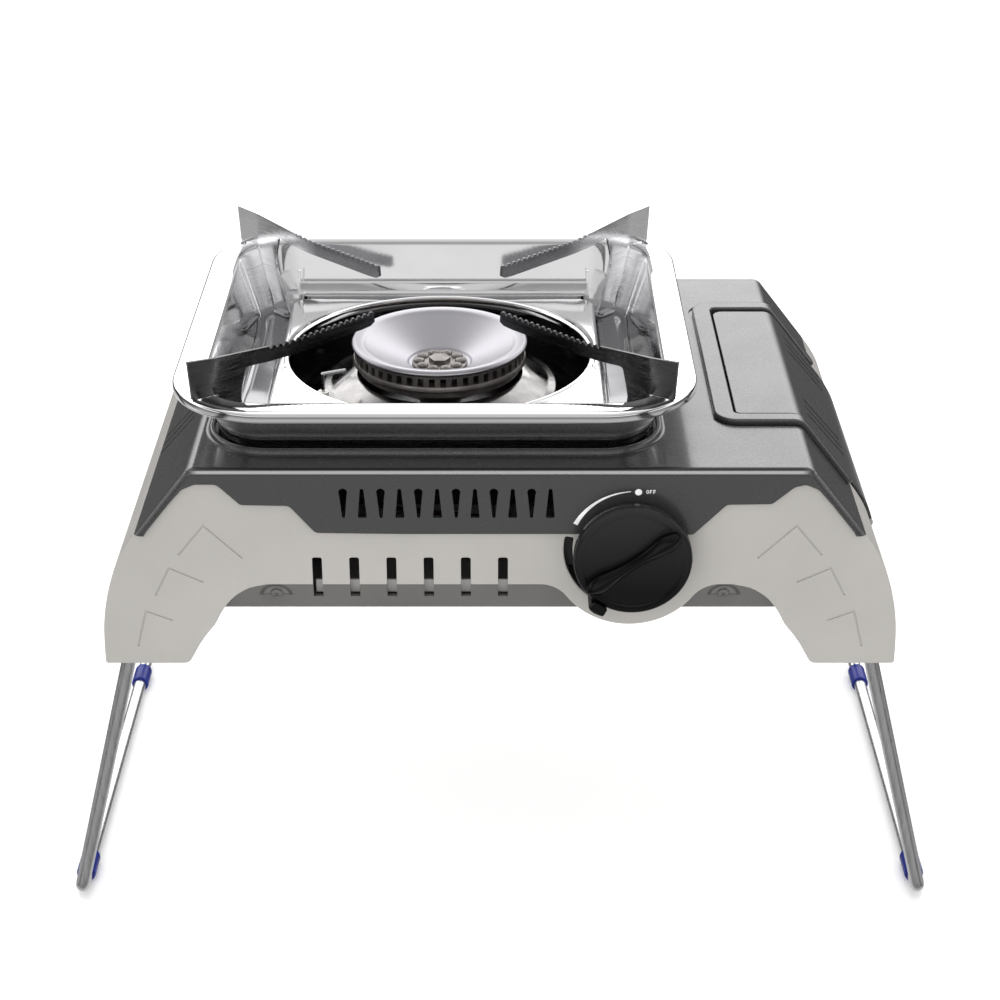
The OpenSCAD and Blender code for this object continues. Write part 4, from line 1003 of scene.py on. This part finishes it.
# ------------------------------------------------------------------ burner
def burner():
    cap = lathe("cap", [(3.1, 0.3), (15.6, 0.6), (16.7, 0.9), (17.4, 1.8), (18.2, 2.8), (39.6, 13.3), (40.6, 13.9), (41.4, 14.5), (42.6, 14.95), (45.0, 15.4), (46.3, 15.35), (47.2, 14.9), (47.7, 14.0), (47.7, 12.9),
                        (47.4, 12.2), (46.8, 11.95), (41.4, 11.9), (40, 11.5), (19.4, 0.9), (17.2, -1.2), (3.1, -1.6)], 144, -33, 0, 0)
    put(cap, "burner_steel", "case", ["burner_cap"], angle=40, name="burner_cap_spun")
    # hub nut with a crown of lobes
    parts = [lathe("d", [(0, 0.75), (14.9, 0.75), (15.2, 1.0), (15.1, 1.6), (14.6, 1.9), (0, 2.0)], 64, -33, 0, 0),
             lathe("s", [(0, -12), (2.8, -12), (3.0, -11.8), (3.0, 1.5), (0, 1.5)], 24, -33, 0, 0),
             lathe("n", [(2.99, -8), (7.6, -8), (8, -7.6), (8, -3.8), (7.6, -3.4), (2.99, -3.4)], 32, -33, 0, 0)]
    for k in range(10):
        a = 36 * k
        lob = lathe("l", [(0, 1.2), (3.1, 1.2), (3.2, 2.2), (2.7, 3.0), (1.5, 3.5), (0, 3.6)], 20, -33 + 11.4 * cos(a), 11.4 * sin(a), 0)
        parts.append(lob)
    hexa = [(-33 + 6 * cos(60 * k), 6 * sin(60 * k)) for k in range(6)]
    parts.append(prism("hx", fillet(hexa, 0.5, 2), 1.8, 4.2))
    put(join("cap_nut_crown", parts), "burner_iron", "case", ["cap_nut"], angle=35)
    # flame ports: a ring of teeth under the cap's edge
    ring = lathe("r", [(40.2, 2.5), (45.6, 2.5), (46.6, 2.9), (47.3, 3.8), (47.2, 5.2), (46.8, 6.2), (41.2, 6.3), (41.2, 6.4), (40.2, 6.4)], 144, -33, 0, 0)
    parts = [ring]
    for k in range(48):
        a = 7.5 * k
        w = 2.5
        pts = []
        for r, s in ((40.9, -1), (46.4, -1), (46.4, 1), (40.9, 1)):
            h = math.degrees(math.asin(w / 2 * (0.94 if r < 42 else 1.30) / r))
            pts.append((-33 + r * cos(a + s * h), r * sin(a + s * h)))
        parts.append(prism("t", fillet(pts, 0.35, 2), 6.1, 11.7))
    parts.append(lathe("tr", [(40.9, 10.5), (46.0, 10.5), (46.3, 10.8), (46.3, 11.6), (46.0, 11.75), (41.5, 11.75), (40.9, 11.3)], 144, -33, 0, 0))
    put(join("flame_ring_ports", parts), "burner_iron", "case", ["flame_ring"], angle=35)
    br = lathe("burner_base_ring", [(44.3, -4.6), (45.2, -3.5), (46.4, -3.3), (50, -5.2), (58.6, -9.6), (60.4, -10.4), (63.2, -10.5), (64.6, -11.1), (66.7, -13.4), (72.6, -16.9), (74.4, -17.8), (76.6, -18), (77, -18.4), (76.8, -19),
                                    (73.7, -19), (66, -14.5), (63.5, -11.6), (59.7, -11.5), (49.6, -6.2), (45.2, -5.6), (44.3, -5.2)], 144, -33, 0, 0)
    boolean(br, lathe("eh", [(0, -30), (5.4, -30), (5.4, 10), (0, 10)], 32, -95, -28, 0))
    feet = []
    for a in (60, 180, 300):
        f = box("ft", 68, 72, -3, 3, -27.9, -15.6)
        f.data.transform(Matrix.Translation((-33, 0, 0)) @ Matrix.Rotation(math.radians(a), 4, "Z"))
        feet.append(f)
    put(join("burner_base_ring", [br] + feet), "ring_chrome", "case", ["base_ring"], angle=40)


# ------------------------------------------------------------------ controls
def gas_knob():
    kx, kz = 66.3, -45.0
    disc = lathe("kd", [(3.05, -138.6), (28.4, -138.6), (29.2, -138.9), (29.7, -139.6), (29.7, -143.2), (29.4, -144.4), (28.7, -145.2), (27.6, -145.55), (26.2, -145.5), (25.2, -145.0), (24.2, -144.75),
                        (14, -145.0), (3.05, -145.2)], 144, kx, 0, kz, "Y")
    hub = lathe("kh", [(3.05, -139), (8, -139), (8, -134.2), (7.8, -134), (3.05, -134)], 48, kx, 0, kz, "Y")
    rings = []
    S = [-27.4, -27.0, -25.8, -23.5, -20, -16, -12, -8, -4, 0, 4, 8, 12, 16, 20, 23.5, 25.8, 27.0, 27.4]
    for s in S:
        a = abs(s)
        if a <= 20:
            w = min(79.2 - math.sqrt(76.5 ** 2 - a * a), 4.8)
        else:
            w = 4.8 * math.sqrt(max(0.03, 1 - ((a - 18) / 9.9) ** 2))
        top = -151.5 + 0.018 * (27.4 - a) * 1.2 + (1.8 * max(0.0, (a - 24) / 3.4) ** 2)
        sh = top + 2.4
        sec = [(-w, -144.2), (-w * 0.99, sh + 1.0), (-w * 0.93, sh), (-w * 0.62, top + 1.2), (-0.7, top + 0.25), (0, top), (0.7, top + 0.25), (w * 0.62, top + 1.2), (w * 0.93, sh), (w * 0.99, sh + 1.0), (w, -144.2)]
        rings.append([(s, y, t) for t, y in sec])
    grip = loft("kg", rings)
    rot = Matrix.Translation((kx, 0, kz)) @ Matrix.Rotation(math.radians(-35), 4, "Y")
    grip.data.transform(rot)
    put(join("gas_knob_turned", [disc, hub, grip]), "knob_black", "knob", ["gas_knob"], angle=42)


def lock_lever():
    kx, kz = 66.3, -45.0
    ring = lathe("lr", [(9, -129.1), (17.5, -129.1), (17.5, -126.7), (9, -126.7)], 48, kx, 0, kz, "Y")
    arm = upright(prism("la", fillet([(10, -3.4), (34, -3.4), (34, 3.4), (10, 3.4)], 1.5, 3), -129.1, -126.7))
    web = upright(prism("lw", fillet([(30.2, -2), (33.8, -2), (33.8, 2), (30.2, 2)], 0.9, 3), -134.1, -128.9))
    grip = [(30.3, -4.2), (33.2, -4.6), (34.3, -3.0), (34.8, 0), (34.3, 3.0), (33.2, 4.6), (30.3, 4.2)]
    g = upright(plate("lg", [fillet(grip, 0.8, 3)], -146.4, -134.0, 0.7, 3))
    hook = upright(plate("lk", [fillet([(28.2, -3.8), (33.4, -4.3), (33.4, 4.3), (28.2, 3.8)], 1.2, 3)], -148.0, -146.0, 0.6, 3))
    j = join("lock_lever_tab", [ring, arm, web, g, hook])
    M = Matrix.Translation((kx, 0, kz)) @ Matrix.Rotation(math.radians(-237), 4, "Y")
    # the ring is already in place; only the arm and its grip turn about the knob's axis
    me = j.data
    n_ring = 48 * 4
    for i, v in enumerate(me.vertices):
        if i >= n_ring:
            v.co = M @ v.co
    put(j, "knob_black", "lock_lever", ["lock_lever"], angle=35)


def dial_print():
    kx, kz = 66.3, -45.0
    n = 24
    outer, inner = [], []
    for k in range(n + 1):
        t = k / n
        a = 92.5 + 60 * t
        r = 33.1 - 0.8 * t
        w = 0.35 + 2.0 * t ** 1.15
        outer.append((kx + (r + w / 2) * cos(a), kz + (r + w / 2) * sin(a)))
        inner.append((kx + (r - w / 2) * cos(a), kz + (r - w / 2) * sin(a)))
    parts = [prism_y("pa", outer + inner[::-1], -133.26, -133.16)]
    parts.append(prism_y("pd", [(kx + 2.4 + 1.75 * cos(a), kz + 32.8 + 1.75 * sin(a)) for a in range(0, 360, 15)], -133.26, -133.16))
    # OFF, in plain strokes
    x0, z0, h, w = kx + 6.2, kz + 31.9, 2.1, 1.35
    oo = [(x0 + w / 2 + w / 2 * cos(a), z0 + h / 2 + h / 2 * sin(a)) for a in range(0, 360, 20)]
    oi = [(x0 + w / 2 + (w / 2 - 0.34) * cos(a), z0 + h / 2 + (h / 2 - 0.34) * sin(a)) for a in range(0, 360, 20)]
    ring_v = [(x, -133.26, z) for x, z in oo] + [(x, -133.26, z) for x, z in oi] + [(x, -133.16, z) for x, z in oo] + [(x, -133.16, z) for x, z in oi]
    m = len(oo)
    fcs = []
    for k in range(m):
        l = (k + 1) % m
        fcs += [(k, l, m + l, m + k), (2 * m + k, 3 * m + k, 3 * m + l, 2 * m + l), (k, 2 * m + k, 2 * m + l, l), (m + k, m + l, 3 * m + l, 3 * m + k)]
    parts.append(mk("po", ring_v, fcs))
    for j in (1, 2):
        fx = x0 + j * 1.75
        for (a, b, c, d) in ((fx, fx + 0.34, z0, z0 + h), (fx + 0.3, fx + 1.2, z0 + h - 0.34, z0 + h), (fx + 0.3, fx + 1.0, z0 + h * 0.48 - 0.17, z0 + h * 0.48 + 0.17)):
            parts.append(prism_y("pf", [(a, c), (b, c), (b, d), (a, d)], -133.26, -133.16))
    put(join("dial_marks", parts), "print_white", "case", (), angle=30, weighted=False)


# ------------------------------------------------------------------ legs
def arc_path(pts, rad, seg=8):
    """Rounds the inner corners of an open 2D line."""
    out = [pts[0]]
    for i in range(1, len(pts) - 1):
        q = fillet([pts[i - 1], pts[i], pts[i + 1]], [0, rad[i], 0], seg)
        out += q[1:-1]
    out.append(pts[-1])
    return out


def legs():
    for sg, nm in ((-1, "left"), (1, "right")):
        path = arc_path([(-102, 0), (-124, 0), (-124, -177.6), (124, -177.6), (124, 0), (102, 0)], [0, 7, 8, 8, 7, 0], 10)
        dense = []
        for i in range(len(path) - 1):
            a, b = Vector(path[i]), Vector(path[i + 1])
            k = max(1, int((b - a).length / 30))
            dense += [tuple(a + (b - a) * j / k) for j in range(k)]
        dense.append(path[-1])
        t = tube("leg", [(0, y, z) for y, z in dense], 3.75, 28)
        M = Matrix.Translation((sg * 187, 0, -90)) @ Matrix.Rotation(math.radians(-14.3 * sg), 4, "Y")
        t.data.transform(M)
        put(t, "leg_aluminium", nm + "_leg", [nm + "_leg_frame"], angle=40, weighted=False, name=nm + "_leg_rod")
        parts = []
        for s in (-1, 1):
            prof = [(3.8, -8.8), (4.6, -8.8), (5.05, -8.5), (5.25, -7.9), (5.3, -7.0)]
            for z in (-5.6, 5.6):
                prof += [(5.3, z - 0.4), (5.16, z - 0.15), (5.16, z + 0.15), (5.3, z + 0.4)]
            prof += [(5.3, 7.0), (5.25, 7.9), (5.05, 8.5), (4.6, 8.8), (3.8, 8.8)]
            sl = lathe("sl", prof, 40, 0, s * 100.5, -177.6, "Y")
            sl.data.transform(M)
            boolean(sl, box("fc", -300, 300, -300, 300, -TOP - 20, -TOP))
            parts.append(sl)
        put(join(nm + "_foot_grips", parts), "sleeve_blue", nm + "_leg", [nm + "_foot_sleeves"], angle=35)


def spark_lead():
    P = [(37, -80.4, -49), (36, -76, -54), (33, -71, -61), (24, -64, -66), (8, -55, -68), (-15, -48, -69), (-40, -43, -69), (-62, -39, -68), (-80, -34, -64), (-90, -31, -58), (-94, -29, -50), (-95, -28, -39.5)]
    line = smooth([Vector(p) for p in P], 4)
    o = tube("t", line, 1.25, 12)
    cap = lathe("c", [(0, -83.9), (1.8, -83.9), (2, -83.7), (2, -80.2), (1.6, -79.9), (0, -79.9)], 24, 37, 0, -49, "Y")
    boot = lathe("b", [(0, -40.5), (1.9, -40.5), (2.4, -39.8), (2.4, -36.3), (2.2, -36.1), (0, -36.1)], 24, -95, -28, 0)
    put(join("spark_lead_wire", [o, cap, boot]), "lead_red", "case", ["igniter_lead"], angle=40)


# ------------------------------------------------------------------ build
top_shell()
canister_lid()
screws = front_panel() + rear_panel()
# the screw heads take the belly's colour, the cream paint darkened as painted shade
put(join("shell_screw_heads", screws), "case_painted_shade", "case", ["shell_screws"], angle=35)
side_panel(-1, "left_side_wall", "left_side_panel")
side_panel(1, "right_side_wall", "right_side_panel")
drip_tray()
wind_shields()
supports()
burner()
gas_knob()
lock_lever()
dial_print()
legs()
spark_lead()

# CAD pieces whose shape is right keep it and get a finish
keep = {s["node"]: s["material_slot"] for s in frame["record"]["subparts"]}
for n, o in nodes.items():
    if o.hide_render:
        continue
    o.data.materials.clear()
    o.data.materials.append(MAT[keep[n]])
    for p in o.data.polygons:
        p.material_index = 0

# ------------------------------------------------------------------ stage, lights, camera
m, nt, b = new_mat("floor_pale", (0.95, 0.95, 0.95), 0.0, 0.85)
vary_color(nt, b, noise(nt, coord(nt), 3, 2), (0.945, 0.945, 0.945), (0.955, 0.955, 0.955))
b.inputs["Emission Color"].default_value = (1, 1, 1, 1)
b.inputs["Emission Strength"].default_value = 0.12
bpy.ops.mesh.primitive_plane_add(size=14, location=(0, 2, -0.0004))
floor = bpy.context.object
floor.name = "floor"
floor.data.materials.append(m)


def area(name, loc, target, size, power, color=(1, 1, 1), spread=180):
    l = bpy.data.lights.new(name, "AREA")
    l.shape = "RECTANGLE"
    l.size, l.size_y = size
    l.energy = power
    l.color = color
    l.spread = math.radians(spread)
    o = bpy.data.objects.new(name, l)
    scene.collection.objects.link(o)
    o.location = loc
    d = Vector(target) - Vector(loc)
    o.rotation_euler = d.to_track_quat("-Z", "Y").to_euler()
    return o


def hide_gloss(o):
    o.visible_glossy = False


hide_gloss(area("top_soft", (-0.15, -0.05, 1.9), (0, 0.0, 0.25), (1.7, 1.3), 10))
hide_gloss(area("front_soft", (-0.5, -2.4, 1.2), (0, 0, 0.2), (2.4, 1.2), 12))
hide_gloss(area("back_soft", (0.5, 2.2, 1.7), (0.0, 0, 0.2), (2.0, 1.2), 12))
floor.visible_glossy = False

# studio surroundings as the metal sees them: bright above the back, dim below the horizon
w = bpy.data.worlds.new("studio")
scene.world = w
w.use_nodes = True
nt = w.node_tree
bg = next(n for n in nt.nodes if n.type == "BACKGROUND")
tc = nt.nodes.new("ShaderNodeTexCoord")
sx = nt.nodes.new("ShaderNodeSeparateXYZ")
nt.links.new(tc.outputs["Generated"], sx.inputs["Vector"])


def ramp(src, stops):
    n = nt.nodes.new("ShaderNodeValToRGB")
    while len(n.color_ramp.elements) < len(stops):
        n.color_ramp.elements.new(0.5)
    for e, (p, v) in zip(n.color_ramp.elements, stops):
        e.position = p
        c = v if isinstance(v, tuple) else (v, v, v)
        e.color = (*c, 1)
    nt.links.new(src, n.inputs["Fac"])
    return n.outputs["Color"]


def remap01(src, lo, hi):
    n = nt.nodes.new("ShaderNodeMapRange")
    n.inputs["From Min"].default_value = lo
    n.inputs["From Max"].default_value = hi
    nt.links.new(src, n.inputs["Value"])
    return n.outputs["Result"]


def mix(kind, a, b, fac=None):
    n = nt.nodes.new("ShaderNodeMix")
    n.data_type = "RGBA"
    n.blend_type = kind
    if fac is None:
        n.inputs[0].default_value = 1.0
    else:
        nt.links.new(fac, n.inputs[0])
    nt.links.new(a, n.inputs[6])
    nt.links.new(b, n.inputs[7])
    return n.outputs[2]


up = remap01(sx.outputs["Z"], -1, 1)
rear = ramp(up, [(0.0, 0.55), (0.29, 0.6), (0.34, 0.09), (0.50, 0.07), (0.54, 0.14), (0.60, 1.1), (0.66, 2.2), (0.80, 2.2), (0.9, 0.6), (1.0, 0.6)])
fore = ramp(up, [(0.0, 0.20), (0.12, 0.20), (0.22, 0.38), (0.31, 0.38), (0.40, 0.12), (0.505, 0.10), (0.53, 0.72), (0.62, 0.80), (0.70, 0.25), (1.0, 0.6)])
base = mix("MIX", fore, rear, remap01(sx.outputs["Y"], -0.10, 0.10))
side = ramp(remap01(sx.outputs["X"], -1, 1), [(0.0, 1.0), (0.085, 0.95), (0.10, 0.16), (0.13, 0.14), (0.17, 1.0), (0.81, 1.0), (0.85, 0.16), (0.90, 0.14), (0.915, 0.95), (1.0, 1.0)])
col = mix("MULTIPLY", base, side)
lp = nt.nodes.new("ShaderNodeLightPath")
soft = nt.nodes.new("ShaderNodeRGB")
soft.outputs[0].default_value = (0.83, 0.83, 0.835, 1)
col = mix("MIX", col, soft.outputs[0], lp.outputs["Is Diffuse Ray"])
pale = nt.nodes.new("ShaderNodeRGB")
pale.outputs[0].default_value = (1.0, 1.0, 1.0, 1)
col = mix("MIX", col, pale.outputs[0], lp.outputs["Is Camera Ray"])
nt.links.new(col, bg.inputs["Color"])
bg.inputs["Strength"].default_value = 1.25

cam = bpy.data.cameras.new("camera")
cam.sensor_width = 36
cam.lens = 77.4
cam.clip_end = 50
co = bpy.data.objects.new("camera", cam)
scene.collection.objects.link(co)
co.location = (0, -1.0777, 0.730013)
co.rotation_euler = (math.radians(90 - 26.7), 0, 0)
scene.camera = co
scene.view_settings.view_transform = "Standard"
